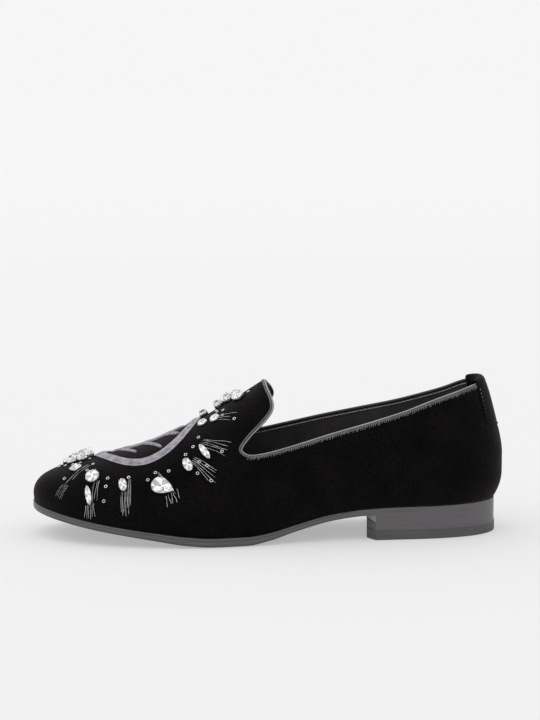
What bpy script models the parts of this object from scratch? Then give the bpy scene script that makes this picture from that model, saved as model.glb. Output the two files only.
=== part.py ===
"""Velvet slip-on shoe for the left foot, with a low stacked heel, a piped collar and a jewelled vamp.

Sizes are in millimetres and become metres as each mesh is made. The toe points along -X, the outer side
of the foot is -Y and the shoe stands on Z = 0. A station is a distance along the shoe from the fullest
point of the heel counter. Sections lie at equal turns of a half circle, so they crowd together where heel
and toe close round.
"""

import math

import bmesh
import bpy
import numpy as np

MM = 0.001
OUTER, INNER = -1, 1  # the two sides of the foot
HALF_TURN = math.pi
UPRIGHT = math.pi / 2

# Driving sizes
LENGTH = 255.0
WALL = 2.0
SEAM_GAP = 0.3
BOX_CENTRE_X = 0.7
BOX_CENTRE_Y = -0.7

# The last: half width and middle of the outline at its fullest, depth from ridge to sole line, sideways place
# of the ridge from that middle, and how boxy the crown of the section is. One row a twelfth of a half turn.
HALF_WIDTH, MIDDLE, DEPTH, RIDGE_SHIFT, CROWN = range(5)
SECTIONS = (
    (0.0, 0.0, 100.0, 0.0, 2.2),
    (12.8, 0.0, 100.0, 0.0, 2.2),
    (22.6, 0.0, 98.5, 0.0, 2.2),
    (27.8, 0.0, 95.0, 0.0, 2.2),
    (29.2, -0.3, 90.0, 1.0, 2.2),
    (30.4, -1.2, 84.0, 3.0, 2.1),
    (35.0, -2.4, 76.5, 4.4, 1.95),
    (40.4, -1.8, 57.6, 4.4, 1.85),
    (40.2, 0.0, 39.6, 3.4, 1.95),
    (35.2, 1.6, 29.6, 2.0, 2.1),
    (26.4, 3.0, 20.9, 1.0, 2.2),
    (14.6, 4.0, 11.5, 0.3, 2.1),
    (0.0, 4.3, 0.0, 0.0, 2.0),
)
SHOULDER = 2.2  # how upright the lower walls stand

# The sole seen from the side: station, height of its top, thickness, how far its edge rolls up.
SOLE_LINE = np.array((
    (0.0, 18.2, 4.4, 0.0),
    (10.0, 18.1, 4.3, 0.0),
    (28.0, 17.7, 3.9, 0.0),
    (62.0, 17.3, 3.5, 0.0),
    (76.0, 16.7, 3.5, 0.0),
    (95.0, 14.4, 3.6, 0.3),
    (115.0, 9.8, 3.8, 0.5),
    (128.0, 6.5, 4.4, 0.5),
    (140.0, 4.9, 4.9, 0.5),
    (158.0, 4.9, 4.9, 0.5),
    (173.0, 5.9, 4.8, 0.5),
    (188.0, 7.8, 4.4, 0.5),
    (206.0, 10.0, 4.0, 0.5),
    (224.0, 12.6, 4.0, 0.5),
    (240.0, 15.4, 4.1, 0.5),
    (255.0, 18.4, 4.5, 0.5),
))
# Where the wall tucks in above the sole: station, depth of the tuck, sole edge beyond the tucked wall.
FEATHER = np.array((
    (0.0, 4.3, 0.2),
    (40.0, 3.4, 0.6),
    (90.0, 3.0, 0.6),
    (150.0, 2.4, 1.4),
    (220.0, 2.0, 1.2),
    (255.0, 2.0, 0.7),
))
TUCK_HEIGHT = 14.0
# The back seam seen from the side: height above the sole, how far it leans forward.
BACK_SEAM = np.array((
    (0.0, 0.0),
    (24.0, 0.0),
    (34.0, 1.4),
    (45.0, 4.8),
    (57.7, 8.7),
    (66.0, 11.8),
    (80.0, 17.4),
))
BACK_SEAM_REACH = 70.0

# The sole across: shares of its half width at which it is modelled.
SOLE_ACROSS = (-1.0, -0.86, -0.5, 0.0, 0.5, 0.86, 1.0)
SOLE_STATIONS = 40
SOLE_TIP_TURN = 0.03  # the sole and insole close with a narrow flat at heel and toe
INSOLE_THICKNESS = 2.0
INSOLE_CLEARANCE = 0.2

# The heel under the flat seat. Breast: share of the half width, how far it stands ahead of its inner corner.
OUTER_HEEL_LENGTH = 71.5
INNER_HEEL_LENGTH = 69.6
TOP_LIFT_HEIGHT = 5.5
TOP_LIFT_OVERHANG = 0.4
BREAST = ((0.76, 0.6), (0.4, 2.2), (0.0, 3.6), (-0.4, 4.9), (-0.76, 6.1))
HEEL_COLUMNS = 14

# The corded binding round the top edge
PIPING_RADIUS = 0.85

# The tab folded over the back of the collar
TAB_HALF_WIDTH = 16.0
TAB_DEPTH = 25.0
TAB_SIDE_DEPTH = 18.0
TAB_INNER_DEPTH = 9.0
TAB_THICKNESS = 0.7
TAB_FOLD_HEIGHT = 2.4
TAB_STAND_OFF = 0.7
TAB_ROUNDNESS = 2.5
TAB_COLUMNS = 12
TAB_OUTER_ROWS = 7
TAB_FOLD_ROWS = 8
TAB_INNER_ROWS = 4

# The embroidered leaf on the vamp, in station and girth, its axis a little inside the ridge.
DECOR_AXIS = 3.5
INNER_REACH = 0.82  # the inner side of the vamp is shorter, so its stones sit closer to the axis
LEAF_MIDDLE = 191.5
LEAF_HALF_LENGTH = 26.0
LEAF_HALF_WIDTH = 27.0
LEAF_POINTEDNESS = 0.5
LEAF_POINTS = 48
STITCH_BAND_HALF_WIDTH = 2.2
STITCH_EDGE_HEIGHT = 0.4
STITCH_CROWN_HEIGHT = 1.0
RIB_HALF_LENGTH = 20.0
RIB_HALF_WIDTH = 1.7
RIB_SWELL = 1.15
RIB_TAPER = 0.6
RIB_POINTS = 11
# Side veins: station where each leaves the rib, how far it runs back, how far it runs out.
VEINS = ((206.0, 8.0, 14.0), (194.0, 9.5, 19.0), (182.0, 7.0, 11.5))
VEIN_HALF_WIDTH = 1.4
VEIN_TAPER = 0.4
VEIN_POINTS = 6

# Glass stones: name, cut, station, girth from the axis, length, width, height, slant of length from girth.
PAIRED_STONES = (
    ("toe_cushion", "cushion", 230.0, 17.0, 6.4, 5.4, 2.4, 50.0),
    ("toe_round", "round", 221.0, 28.6, 8.6, 7.4, 2.8, 0.0),
    ("toe_navette", "navette", 223.0, 39.5, 11.0, 3.3, 1.8, 5.0),
    ("ball_oval", "oval", 205.0, 39.5, 7.6, 4.2, 2.2, 0.0),
    ("ball_pear", "pear", 184.0, 47.5, 12.6, 8.8, 3.2, -48.0),
    ("waist_oval", "oval", 171.0, 40.5, 8.2, 4.7, 2.2, -3.0),
    ("waist_navette", "navette", 162.0, 37.0, 10.8, 3.5, 1.8, -11.0),
    ("instep_oval_a", "oval", 162.3, 15.2, 5.4, 4.6, 2.4, 90.0),
    ("instep_oval_b", "oval", 155.8, 17.3, 5.5, 4.7, 2.4, 90.0),
    ("instep_crown", "oval", 142.8, 8.8, 8.2, 7.0, 4.0, 0.0),
)
AXIS_STONES = (
    ("toe_oval", "oval", 223.6, 0.0, 8.0, 6.4, 5.0, 0.0),
    ("instep_cushion", "cushion", 161.0, 0.0, 5.2, 4.6, 3.4, 90.0),
)
STONE_FACETS = 8
STONE_BASE = 0.84  # size of the back and of the table, against the girdle
STONE_TABLE = 0.6
STONE_GIRDLE = 0.4  # height of the girdle, against the whole
NAVETTE_POINT = 0.4  # how sharply a navette closes
PEAR_FULLNESS = 0.77
CUSHION_ROUNDNESS = 0.5
CUSHION_REACH = 0.9
AHEAD = 0.5  # how far ahead a stone looks for the way along the shoe

# Plain finishes: colour and roughness.
FINISHES = {
    "black_velvet": ((0.006, 0.006, 0.007), 0.9),
    "sole_leather": ((0.05, 0.05, 0.052), 0.45),
    "heel_stack": ((0.06, 0.06, 0.062), 0.45),
    "top_lift_rubber": ((0.03, 0.03, 0.032), 0.6),
    "insole_sock": ((0.012, 0.012, 0.013), 0.6),
    "piping_cord": ((0.25, 0.25, 0.27), 0.5),
    "satin_thread": ((0.26, 0.24, 0.28), 0.45),
    "cut_glass": ((0.8, 0.8, 0.8), 0.08),
}

# The top edge from the back seam to the middle of the tongue: station and height outside, then inside.
COLLAR = np.array((
    (0.0, 81.2, 0.0, 81.2),
    (12.0, 79.6, 12.0, 78.2),
    (26.0, 76.4, 26.0, 73.4),
    (40.0, 72.6, 40.0, 69.6),
    (56.0, 67.2, 56.0, 65.8),
    (75.0, 61.6, 75.0, 62.2),
    (95.0, 56.2, 95.0, 58.4),
    (115.0, 50.6, 115.0, 54.0),
    (131.0, 46.8, 131.0, 50.6),
    (140.0, 46.4, 139.4, 50.0),
    (144.2, 50.4, 143.2, 52.8),
    (139.6, 57.0, 138.0, 58.8),
    (133.8, 62.6, 131.6, 64.2),
    (128.6, 68.4, 126.2, 69.8),
    (127.2, 72.0, 124.8, 73.0),
    (128.0, 75.8, 126.2, 76.6),
    (129.6, 79.4, 128.8, 80.0),
    (130.6, 82.4, 130.6, 82.4),
))
NOTCH_ROW = 9  # the lowest row of the collar, where tongue and quarter part
VAMP_START = 150.0  # station on the sole below the notch

# How finely the upper is divided: columns from heel to notch and notch to toe, rows from sole to collar.
QUARTER_COLUMNS = 20
VAMP_COLUMNS = 22
WALL_ROWS = 14
ROW_CROWDING = 1.25
FINE_STEPS = 400  # points for measuring along a curve
PLAN_STEP = 1e-4  # turns over which the direction of the outline is measured
WALL_STEP = 1e-3  # turns over which the slope of the wall is measured
ONE_BELOW = np.array(1.0)


def monotone(knots, values, at):
    """A smooth curve through a table that never overshoots its rows."""
    at = np.clip(at, knots[0], knots[-1])
    run = np.diff(knots)
    slope = np.diff(values) / run
    before, after = slope[:-1], slope[1:]
    bend = before * after
    tangent = np.zeros(len(values))
    tangent[0], tangent[-1] = slope[0], slope[-1]
    tangent[1:-1] = np.where(bend > 0, 2 * bend / np.where(bend > 0, before + after, 1), 0)
    i = np.clip(np.searchsorted(knots, at, side="right") - 1, 0, len(run) - 1)
    f = (at - knots[i]) / run[i]
    rise = values[i + 1] - values[i]
    start, end = tangent[i] * run[i], tangent[i + 1] * run[i]
    return values[i] + f * (start + f * (3 * rise - 2 * start - end + f * (start + end - 2 * rise)))


def flowing(rows, at):
    """A rounded curve through evenly numbered rows, read at a fractional row number."""
    rows = np.asarray(rows, float)
    first = 2 * rows[:1] - rows[1:2]
    last = 2 * rows[-1:] - rows[-2:-1]
    padded = np.concatenate([first, rows, last])
    at = np.clip(at, 0, len(rows) - 1)
    i = np.minimum(np.asarray(at).astype(int), len(rows) - 2)
    f = at - i
    if rows.ndim > 1:
        f = f[..., None]
    a, b, c, d = padded[i], padded[i + 1], padded[i + 2], padded[i + 3]
    return b + 0.5 * f * (c - a + f * (2 * a - 5 * b + 4 * c - d + f * (3 * (b - c) + d - a)))


def section(column, turn):
    return flowing([row[column] for row in SECTIONS], turn / HALF_TURN * (len(SECTIONS) - 1))


def turn_at(station):
    return np.arccos(np.clip(1 - 2 * np.asarray(station, float) / LENGTH, -1, 1))


def station_at(turn):
    return LENGTH * (1 - np.cos(turn)) / 2


def sole_top(station):
    return monotone(SOLE_LINE[:, 0], SOLE_LINE[:, 1], station)


def sole_bottom(station):
    return sole_top(station) - monotone(SOLE_LINE[:, 0], SOLE_LINE[:, 2], station)


def sole_edge_roll(station):
    return monotone(SOLE_LINE[:, 0], SOLE_LINE[:, 3], station)


def tuck_at(station):
    return monotone(FEATHER[:, 0], FEATHER[:, 1], station)


def sole_margin(station):
    return monotone(FEATHER[:, 0], FEATHER[:, 2], station)


def unit(vectors):
    return vectors / np.linalg.norm(vectors, axis=-1, keepdims=True)


def outline(turn, side, inset):
    """Plan of the last at its fullest, as station and Y, drawn in by inset along its own normal."""
    low, high = np.clip(turn - PLAN_STEP, 0, HALF_TURN), np.clip(turn + PLAN_STEP, 0, HALF_TURN)

    def edge(t):
        return np.stack([station_at(t), section(MIDDLE, t) + side * section(HALF_WIDTH, t)], -1)

    along = edge(high) - edge(low)
    normal = unit(side * np.stack([-along[..., 1], along[..., 0]], -1))
    return edge(turn) - normal * np.asarray(inset)[..., None]


def last_surface(turn, rise, side):
    """A point on the outside of the upper. Turn runs from heel to toe, rise from sole line to ridge."""
    turn, rise = np.broadcast_arrays(np.asarray(turn, float), np.asarray(rise, float))
    station = station_at(turn)
    climb = section(DEPTH, turn) * np.sin(rise) ** (2 / section(CROWN, turn))
    tuck = tuck_at(station) * np.clip(1 - climb / TUCK_HEIGHT, 0, 1) ** 2
    foot = outline(turn, side, tuck)
    ridge = section(MIDDLE, turn) + section(RIDGE_SHIFT, turn)
    spread = np.cos(rise) ** (2 / SHOULDER)
    near_back = np.clip(1 - station / BACK_SEAM_REACH, 0, 1) ** 2
    lean = monotone(BACK_SEAM[:, 0], BACK_SEAM[:, 1], climb) * near_back
    station = foot[..., 0] + lean
    across = ridge + (foot[..., 1] - ridge) * spread
    return np.stack([LENGTH / 2 - station, across, sole_top(station) + SEAM_GAP + climb], -1)


def rise_at(turn, height):
    """The rise at which the upper reaches a height above the floor."""
    share = (height - SEAM_GAP - sole_top(station_at(turn))) / section(DEPTH, turn)
    return np.arcsin(np.clip(share, 0, 1) ** (section(CROWN, turn) / 2))


def collar_edge(place, side):
    """Turn and rise of the top edge, at a fractional row of its table."""
    rows = flowing(COLLAR[:, :2] if side == OUTER else COLLAR[:, 2:], place)
    turn = turn_at(rows[..., 0])
    rise = rise_at(turn, rows[..., 1])
    return turn, np.where(np.asarray(place) >= len(COLLAR) - 1, UPRIGHT, rise)


def run_along(points):
    """Distance along a line of points from the first to each."""
    return np.concatenate([[0], np.cumsum(np.linalg.norm(np.diff(points, axis=0), axis=1))])


def evenly_along(start, end, count, side):
    """Fractional rows of the collar table that lie equally far apart along the edge."""
    place = np.linspace(start, end, FINE_STEPS)
    run = run_along(last_surface(*collar_edge(place, side), side))
    return np.interp(np.linspace(0, run[-1], count + 1), run, place)


def column_tops(side):
    """Fractional rows of the collar table where the columns of the upper end."""
    stations = COLLAR[:NOTCH_ROW + 1, 0 if side == OUTER else 2]
    evenly_turned = np.linspace(0, turn_at(stations[-1]), QUARTER_COLUMNS + 1)
    quarter = np.interp(evenly_turned, turn_at(stations), np.arange(NOTCH_ROW + 1.0))
    return np.concatenate([quarter, evenly_along(NOTCH_ROW, len(COLLAR) - 1, VAMP_COLUMNS, side)[1:]])


def upper_half(side):
    """Turn and rise of every grid point on one side, columns from heel to toe, rows from sole to collar."""
    rows = np.linspace(0, 1, WALL_ROWS + 1) ** ROW_CROWDING
    vamp_turn = turn_at(VAMP_START)
    tops = column_tops(side)

    foot = np.linspace(0, vamp_turn, QUARTER_COLUMNS + 1)
    top_turn, top_rise = collar_edge(tops[:QUARTER_COLUMNS + 1], side)
    quarter = np.stack([foot[:, None] + (top_turn - foot)[:, None] * rows, top_rise[:, None] * rows], -1)

    def flat(turn, rise):
        return np.stack([(HALF_TURN - turn) * np.cos(rise), (HALF_TURN - turn) * np.sin(rise)], -1)

    share = np.linspace(0, 1, VAMP_COLUMNS + 1)
    sole = flat(np.linspace(vamp_turn, HALF_TURN, VAMP_COLUMNS + 1), 0.0)
    tongue = flat(*collar_edge(tops[QUARTER_COLUMNS:], side))
    throat = flat(quarter[-1, :, 0], quarter[-1, :, 1])
    tongue_turn = collar_edge(np.array(len(COLLAR) - 1.0), side)[0]
    ridge = flat(HALF_TURN + (tongue_turn - HALF_TURN) * rows, UPRIGHT)
    a, b = share[:, None, None], rows[None, :, None]
    corners = (1 - a) * ((1 - b) * sole[0] + b * tongue[0]) + a * ((1 - b) * sole[-1] + b * tongue[-1])
    patch = (1 - b) * sole[:, None] + b * tongue[:, None] + (1 - a) * throat + a * ridge - corners
    reach = np.hypot(patch[..., 0], patch[..., 1])
    vamp = np.stack([HALF_TURN - reach, np.arctan2(patch[..., 1], patch[..., 0])], -1)
    vamp[-1, :, 1] = UPRIGHT
    return np.concatenate([quarter, vamp[1:]])


def mesh_object(name, points, faces, material):
    """An object from points in millimetres."""
    mesh = bpy.data.meshes.new(name)
    shifted = np.asarray(points, float).reshape(-1, 3) - (BOX_CENTRE_X, BOX_CENTRE_Y, 0)
    mesh.from_pydata((shifted * MM).tolist(), [], [list(map(int, face)) for face in faces])
    obj = bpy.data.objects.new(name, mesh)
    obj.data.materials.append(material)
    parts_collection().objects.link(obj)
    return obj


def parts_collection():
    return bpy.data.collections["slip_on_shoe"]


def grid_faces(columns, rows, loop):
    """Quads of a grid of points numbered column by column."""
    faces = []
    for i in range(columns if loop else columns - 1):
        for j in range(rows - 1):
            a, b = i * rows + j, (i + 1) % columns * rows + j
            faces.append((a, b, b + 1, a + 1))
    return faces


def skin(name, rings, material, loop=False):
    """A closed solid through rings of equally many points, joined end to end or capped at both ends."""
    rings = np.asarray(rings, float)
    count, around = rings.shape[:2]
    faces = []
    for i in range(count if loop else count - 1):
        here, there = i * around, (i + 1) % count * around
        for j in range(around):
            k = (j + 1) % around
            faces.append((here + j, here + k, there + k, there + j))
    if not loop:
        faces.append(tuple(range(around))[::-1])
        faces.append(tuple(range((count - 1) * around, count * around)))
    obj = mesh_object(name, rings, faces, material)
    face_outwards(obj)
    return obj


def face_outwards(obj):
    shape = bmesh.new()
    shape.from_mesh(obj.data)
    bmesh.ops.recalc_face_normals(shape, faces=shape.faces)
    shape.to_mesh(obj.data)
    shape.free()


def thicken(obj, thickness, offset):
    solid = obj.modifiers.new("wall", "SOLIDIFY")
    solid.thickness = thickness * MM
    solid.offset = offset
    solid.use_even_offset = True
    solid.use_quality_normals = True


def fuse(obj, helper):
    """Joins a helper to an object and puts it away with the other helpers."""
    join = obj.modifiers.new("join", "BOOLEAN")
    join.operation = "UNION"
    join.object = helper
    helper.hide_render = True
    helper.display_type = "WIRE"
    parts_collection().objects.unlink(helper)
    bpy.data.collections["helpers"].objects.link(helper)


def finish(name):
    """A plain material for one kind of piece."""
    colour, roughness = FINISHES[name]
    material = bpy.data.materials.new(name)
    material.use_nodes = True
    shader = material.node_tree.nodes["Principled BSDF"]
    shader.inputs["Base Color"].default_value = (*colour, 1)
    shader.inputs["Roughness"].default_value = roughness
    return material


def make_upper(material):
    """Vamp, tongue and quarters as one wall, from the sole line to the collar."""
    halves = {side: last_surface(*np.moveaxis(upper_half(side), -1, 0), side) for side in (OUTER, INNER)}
    columns = np.concatenate([halves[OUTER], halves[INNER][-2:0:-1]])
    faces = grid_faces(len(columns), WALL_ROWS + 1, loop=True)
    obj = mesh_object("upper", columns, [face[::-1] for face in faces], material)
    thicken(obj, WALL, -1)
    return obj


def across_sole(turn, inset, shares):
    """Plan points from the outer edge of the sole to the inner one, at one turn."""
    outer, inner = outline(turn, OUTER, inset), outline(turn, INNER, inset)
    share = (1 + np.asarray(shares)[:, None]) / 2
    return outer + (inner - outer) * share


def make_outsole(material):
    """A thin sole with toe spring, a flat tread, an arch and a flat heel seat."""
    rings = []
    for turn in np.linspace(SOLE_TIP_TURN, HALF_TURN - SOLE_TIP_TURN, SOLE_STATIONS + 1):
        middle = station_at(turn)
        plan = across_sole(turn, tuck_at(middle) - sole_margin(middle), SOLE_ACROSS)
        station, across = plan[:, 0], plan[:, 1]
        roll = np.where(np.abs(SOLE_ACROSS) == 1, sole_edge_roll(station), 0)
        top = np.stack([LENGTH / 2 - station, across, sole_top(station)], -1)
        bottom = np.stack([LENGTH / 2 - station, across, sole_bottom(station) + roll], -1)
        rings.append(np.concatenate([top, bottom[::-1]]))
    return skin("outsole", rings, material)


def make_insole(material):
    """A thin board inside the wall, lying along the top of the sole."""
    rings = []
    for turn in np.linspace(2 * SOLE_TIP_TURN, HALF_TURN - 2 * SOLE_TIP_TURN, SOLE_STATIONS + 1):
        inset = tuck_at(station_at(turn)) + WALL + INSOLE_CLEARANCE
        plan = across_sole(turn, inset, (-1.0, 0.0, 1.0))
        under = sole_top(plan[:, 0]) + SEAM_GAP
        lower = np.stack([LENGTH / 2 - plan[:, 0], plan[:, 1], under], -1)
        rings.append(np.concatenate([lower + (0, 0, INSOLE_THICKNESS), lower[::-1]]))
    return skin("insole", rings, material)


def heel_ring(overhang, height):
    """Outline of the heel at one height, round the back from corner to corner and along the breast."""
    sides = []
    for side, length in ((OUTER, OUTER_HEEL_LENGTH), (INNER, INNER_HEEL_LENGTH)):
        turn = np.linspace(float(turn_at(length)), 0, HEEL_COLUMNS + 1)
        inset = tuck_at(station_at(turn)) - sole_margin(station_at(turn)) - overhang
        sides.append(outline(turn, side, inset))
    outer, inner = sides
    corner, middle = inner[0], (inner[0, 1] + outer[0, 1]) / 2
    breast = [(corner[0] + forward, middle + (corner[1] - middle) * share) for share, forward in BREAST]
    plan = np.concatenate([outer, inner[-2::-1], breast])
    return np.stack([LENGTH / 2 - plan[:, 0], plan[:, 1], np.broadcast_to(height, len(plan))], -1)


def make_heel(material):
    """The stacked block between the heel seat of the sole and the top lift."""
    low = heel_ring(0.0, TOP_LIFT_HEIGHT + SEAM_GAP)
    high = heel_ring(0.0, 0.0)
    high[:, 2] = sole_bottom(LENGTH / 2 - high[:, 0]) - SEAM_GAP
    return skin("heel", [low, high], material)


def make_top_lift(material):
    return skin("top_lift", [heel_ring(TOP_LIFT_OVERHANG, z) for z in (0.0, TOP_LIFT_HEIGHT)], material)


def surface_normal(turn, rise, side):
    """Outward normal of the last."""
    before, after = np.maximum(turn - WALL_STEP, 0), np.minimum(turn + WALL_STEP, HALF_TURN)
    below, above = rise - WALL_STEP, np.minimum(rise + WALL_STEP, UPRIGHT)
    along = last_surface(after, rise, side) - last_surface(before, rise, side)
    up = last_surface(turn, above, side) - last_surface(turn, below, side)
    return unit(side * np.cross(along, up))


def collar_loop(places):
    """Edge points, outward normals and directions out of the edge, once round the whole top edge."""
    points, normals = [], []
    for side in (OUTER, INNER):
        turn, rise = collar_edge(places[side], side)
        points.append(last_surface(turn, rise, side))
        normals.append(surface_normal(turn, rise, side))
    point = np.concatenate([points[0], points[1][-2:0:-1]])
    normal = np.concatenate([normals[0], normals[1][-2:0:-1]])
    return point, normal, out_of_edge(point, normal)


def out_of_edge(point, normal):
    along = np.roll(point, -1, axis=0) - np.roll(point, 1, axis=0)
    return unit(np.cross(along, normal))


def make_piping(material):
    """A round cord along the top edge."""
    point, normal, out = collar_loop({side: column_tops(side) for side in (OUTER, INNER)})
    middle = point - normal * WALL / 2 + out * (PIPING_RADIUS + SEAM_GAP)
    curve = bpy.data.curves.new("collar_piping", "CURVE")
    curve.dimensions = "3D"
    curve.bevel_depth = PIPING_RADIUS * MM
    curve.bevel_resolution = 1
    cord = curve.splines.new("POLY")
    cord.points.add(len(middle) - 1)
    cord.use_cyclic_u = True
    shifted = (middle - (BOX_CENTRE_X, BOX_CENTRE_Y, 0)) * MM
    cord.points.foreach_set("co", np.concatenate([shifted, np.ones((len(middle), 1))], 1).ravel())
    obj = bpy.data.objects.new("collar_piping", curve)
    curve.materials.append(material)
    parts_collection().objects.link(obj)
    return obj


def down_wall(turn, rise, side, depth):
    """Turn and rise of the point that lies a distance down the wall from a point on it."""
    steps = np.linspace(rise, 0, FINE_STEPS)
    run = run_along(last_surface(turn, steps, side))
    return np.full(np.shape(depth), turn), np.interp(depth, run, steps)


def tab_column(share):
    """One line of the heel tab, up the outside of the wall, over the cord and down the inside."""
    side = OUTER if share < 0 else INNER
    place = np.linspace(0, NOTCH_ROW, FINE_STEPS)
    run = run_along(last_surface(*collar_edge(place, side), side))
    turn, rise = collar_edge(np.interp(abs(share) * TAB_HALF_WIDTH, run, place), side)
    lowest = TAB_SIDE_DEPTH + (TAB_DEPTH - TAB_SIDE_DEPTH) * math.sqrt(1 - abs(share) ** TAB_ROUNDNESS)
    outside = down_wall(turn, rise, side, np.linspace(lowest, 0, TAB_OUTER_ROWS))
    inside = down_wall(turn, rise, side, np.linspace(0, TAB_INNER_DEPTH, TAB_INNER_ROWS))
    edge = last_surface(turn, rise, side)
    below = last_surface(*down_wall(turn, rise, side, ONE_BELOW), side)
    normal, up = surface_normal(turn, rise, side), unit(edge - below)
    cord = edge - normal * WALL / 2 + up * (PIPING_RADIUS + SEAM_GAP)
    bend = np.linspace(0, HALF_TURN, TAB_FOLD_ROWS)[:, None]
    return np.concatenate([
        last_surface(*outside, side) + surface_normal(*outside, side) * TAB_STAND_OFF,
        cord + np.cos(bend) * normal * (WALL / 2 + TAB_STAND_OFF) + np.sin(bend) * up * TAB_FOLD_HEIGHT,
        last_surface(*inside, side) - surface_normal(*inside, side) * (WALL + TAB_STAND_OFF),
    ])


def make_heel_tab(material):
    """A rounded velvet tab folded over the back of the collar."""
    columns = np.array([tab_column(share) for share in np.linspace(-1, 1, TAB_COLUMNS + 1)])
    obj = mesh_object("heel_tab", columns, grid_faces(len(columns), columns.shape[1], loop=False), material)
    thicken(obj, TAB_THICKNESS, 0)
    return obj


def vamp_place(station, girth, side):
    """Turn and rise of the point that lies a girth away from the ridge, down one side of the vamp."""
    turn = float(turn_at(station))
    steps = np.linspace(UPRIGHT, 0, FINE_STEPS)
    run = run_along(last_surface(turn, steps, side))
    return turn, float(np.interp(abs(girth), run, steps))


def on_vamp(station, girth):
    """Points and outward normals on the vamp, where girth is negative towards the outer side of the foot."""
    points, normals = [], []
    for s, g in zip(np.ravel(station), np.ravel(girth)):
        side = OUTER if g < 0 else INNER
        turn, rise = vamp_place(s, g, side)
        points.append(last_surface(turn, rise, side))
        normals.append(surface_normal(np.array(turn), np.array(rise), side))
    return np.array(points), np.array(normals)


def stitched_band(name, station, girth, half_width, material, loop=False):
    """A padded band of satin stitch that follows a line on the vamp."""
    point, normal = on_vamp(station, girth)
    if loop:
        along = np.roll(point, -1, axis=0) - np.roll(point, 1, axis=0)
    else:
        along = np.gradient(point, axis=0)
    across = unit(np.cross(normal, along)) * np.asarray(half_width)[..., None]
    low = point + normal * SEAM_GAP
    edge = low + normal * STITCH_EDGE_HEIGHT
    crown = low + normal * STITCH_CROWN_HEIGHT
    rings = np.stack([low - across, low + across, edge + across, crown, edge - across], axis=1)
    return skin(name, rings, material, loop)


def make_embroidery(material):
    """A leaf outline with a rib and side veins."""
    round_leaf = np.linspace(0, 2 * math.pi, LEAF_POINTS, endpoint=False)
    pointed = np.sin(round_leaf) * np.abs(np.sin(round_leaf)) ** LEAF_POINTEDNESS
    stitched_band("embroidery_leaf", LEAF_MIDDLE + LEAF_HALF_LENGTH * np.cos(round_leaf),
                  DECOR_AXIS + LEAF_HALF_WIDTH * pointed, STITCH_BAND_HALF_WIDTH, material, loop=True)
    share = np.linspace(-1, 1, RIB_POINTS)
    axis = np.full(RIB_POINTS, DECOR_AXIS)
    rib = stitched_band("embroidery_rib", LEAF_MIDDLE + RIB_HALF_LENGTH * share, axis,
                        RIB_HALF_WIDTH * (RIB_SWELL - share ** 2 * RIB_TAPER), material)
    share = np.linspace(0, 1, VEIN_POINTS)
    for number, (start, back, out) in enumerate(VEINS, 1):
        for side in (OUTER, INNER):
            vein = stitched_band(f"vein_{number}", start - back * share, DECOR_AXIS + side * out * share,
                                 VEIN_HALF_WIDTH * (1 - VEIN_TAPER * share), material)
            fuse(rib, vein)


def stone_outline(cut):
    """Plan of a cut stone within a unit circle, its length along the first axis."""
    turn = np.linspace(0, 2 * math.pi, STONE_FACETS, endpoint=False)
    length, width = np.cos(turn), np.sin(turn)
    if cut == "navette":
        width = width * np.abs(width) ** NAVETTE_POINT
    if cut == "pear":
        width = width * np.sin(turn / 2) / PEAR_FULLNESS
    if cut == "cushion":
        length, width = (np.sign(v) * np.abs(v) ** CUSHION_ROUNDNESS * CUSHION_REACH for v in (length, width))
    return np.stack([length, width], -1)


def make_stone(name, cut, station, girth, length, width, height, slant, side, material):
    """A flat-backed cut stone on the vamp."""
    point, normal = (v[0] for v in on_vamp([station], [girth]))
    ahead, _ = on_vamp([station + AHEAD], [girth])
    forward = ahead[0] - point
    forward = unit(forward - normal * forward.dot(normal))
    outward = np.cross(forward, normal) * side
    lean = math.radians(slant)
    long_way = outward * math.cos(lean) + forward * math.sin(lean)
    wide_way = np.cross(normal, long_way)
    plan = stone_outline(cut) * (length / 2, width / 2)
    flat = plan[:, :1] * long_way + plan[:, 1:] * wide_way
    levels = ((STONE_BASE, 0.0), (1.0, STONE_GIRDLE), (STONE_TABLE, 1.0))
    rings = [point + flat * scale + normal * (SEAM_GAP + height * level) for scale, level in levels]
    return skin(f"stone_{name}", rings, material)


def make_stones(material):
    """Stones in rays round the leaf, alike on both sides of its axis, and in two clusters on the axis."""
    for name, cut, station, girth, *size in PAIRED_STONES:
        make_stone(f"{name}_outer", cut, station, DECOR_AXIS - girth, *size, OUTER, material)
        make_stone(f"{name}_inner", cut, station, DECOR_AXIS + girth * INNER_REACH, *size, INNER, material)
    for name, cut, station, girth, *size in AXIS_STONES:
        make_stone(name, cut, station, DECOR_AXIS + girth, *size, OUTER, material)


def clear_scene():
    for obj in list(bpy.data.objects):
        bpy.data.objects.remove(obj)
    for name in ("slip_on_shoe", "helpers"):
        bpy.context.scene.collection.children.link(bpy.data.collections.new(name))


def main():
    clear_scene()
    velvet = finish("black_velvet")
    make_upper(velvet)
    make_outsole(finish("sole_leather"))
    make_heel(finish("heel_stack"))
    make_top_lift(finish("top_lift_rubber"))
    make_insole(finish("insole_sock"))
    make_piping(finish("piping_cord"))
    make_heel_tab(velvet)
    make_embroidery(finish("satin_thread"))
    make_stones(finish("cut_glass"))


if __name__ == "__main__":
    main()
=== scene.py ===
"""Looks of the velvet slip-on shoe: pile, lining, bound edge, satin stitch, cut glass and dyed leather.

Sizes are in millimetres in the shoe's own frame, with the toe along -X, the outer side of the foot at -Y and
the floor at Z = 0. A station is a distance along the shoe from the heel counter. A girth is a distance over
the vamp from its ridge, negative towards the outer side. Every surface is worked out as whole arrays of
points.
"""

import math

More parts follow.
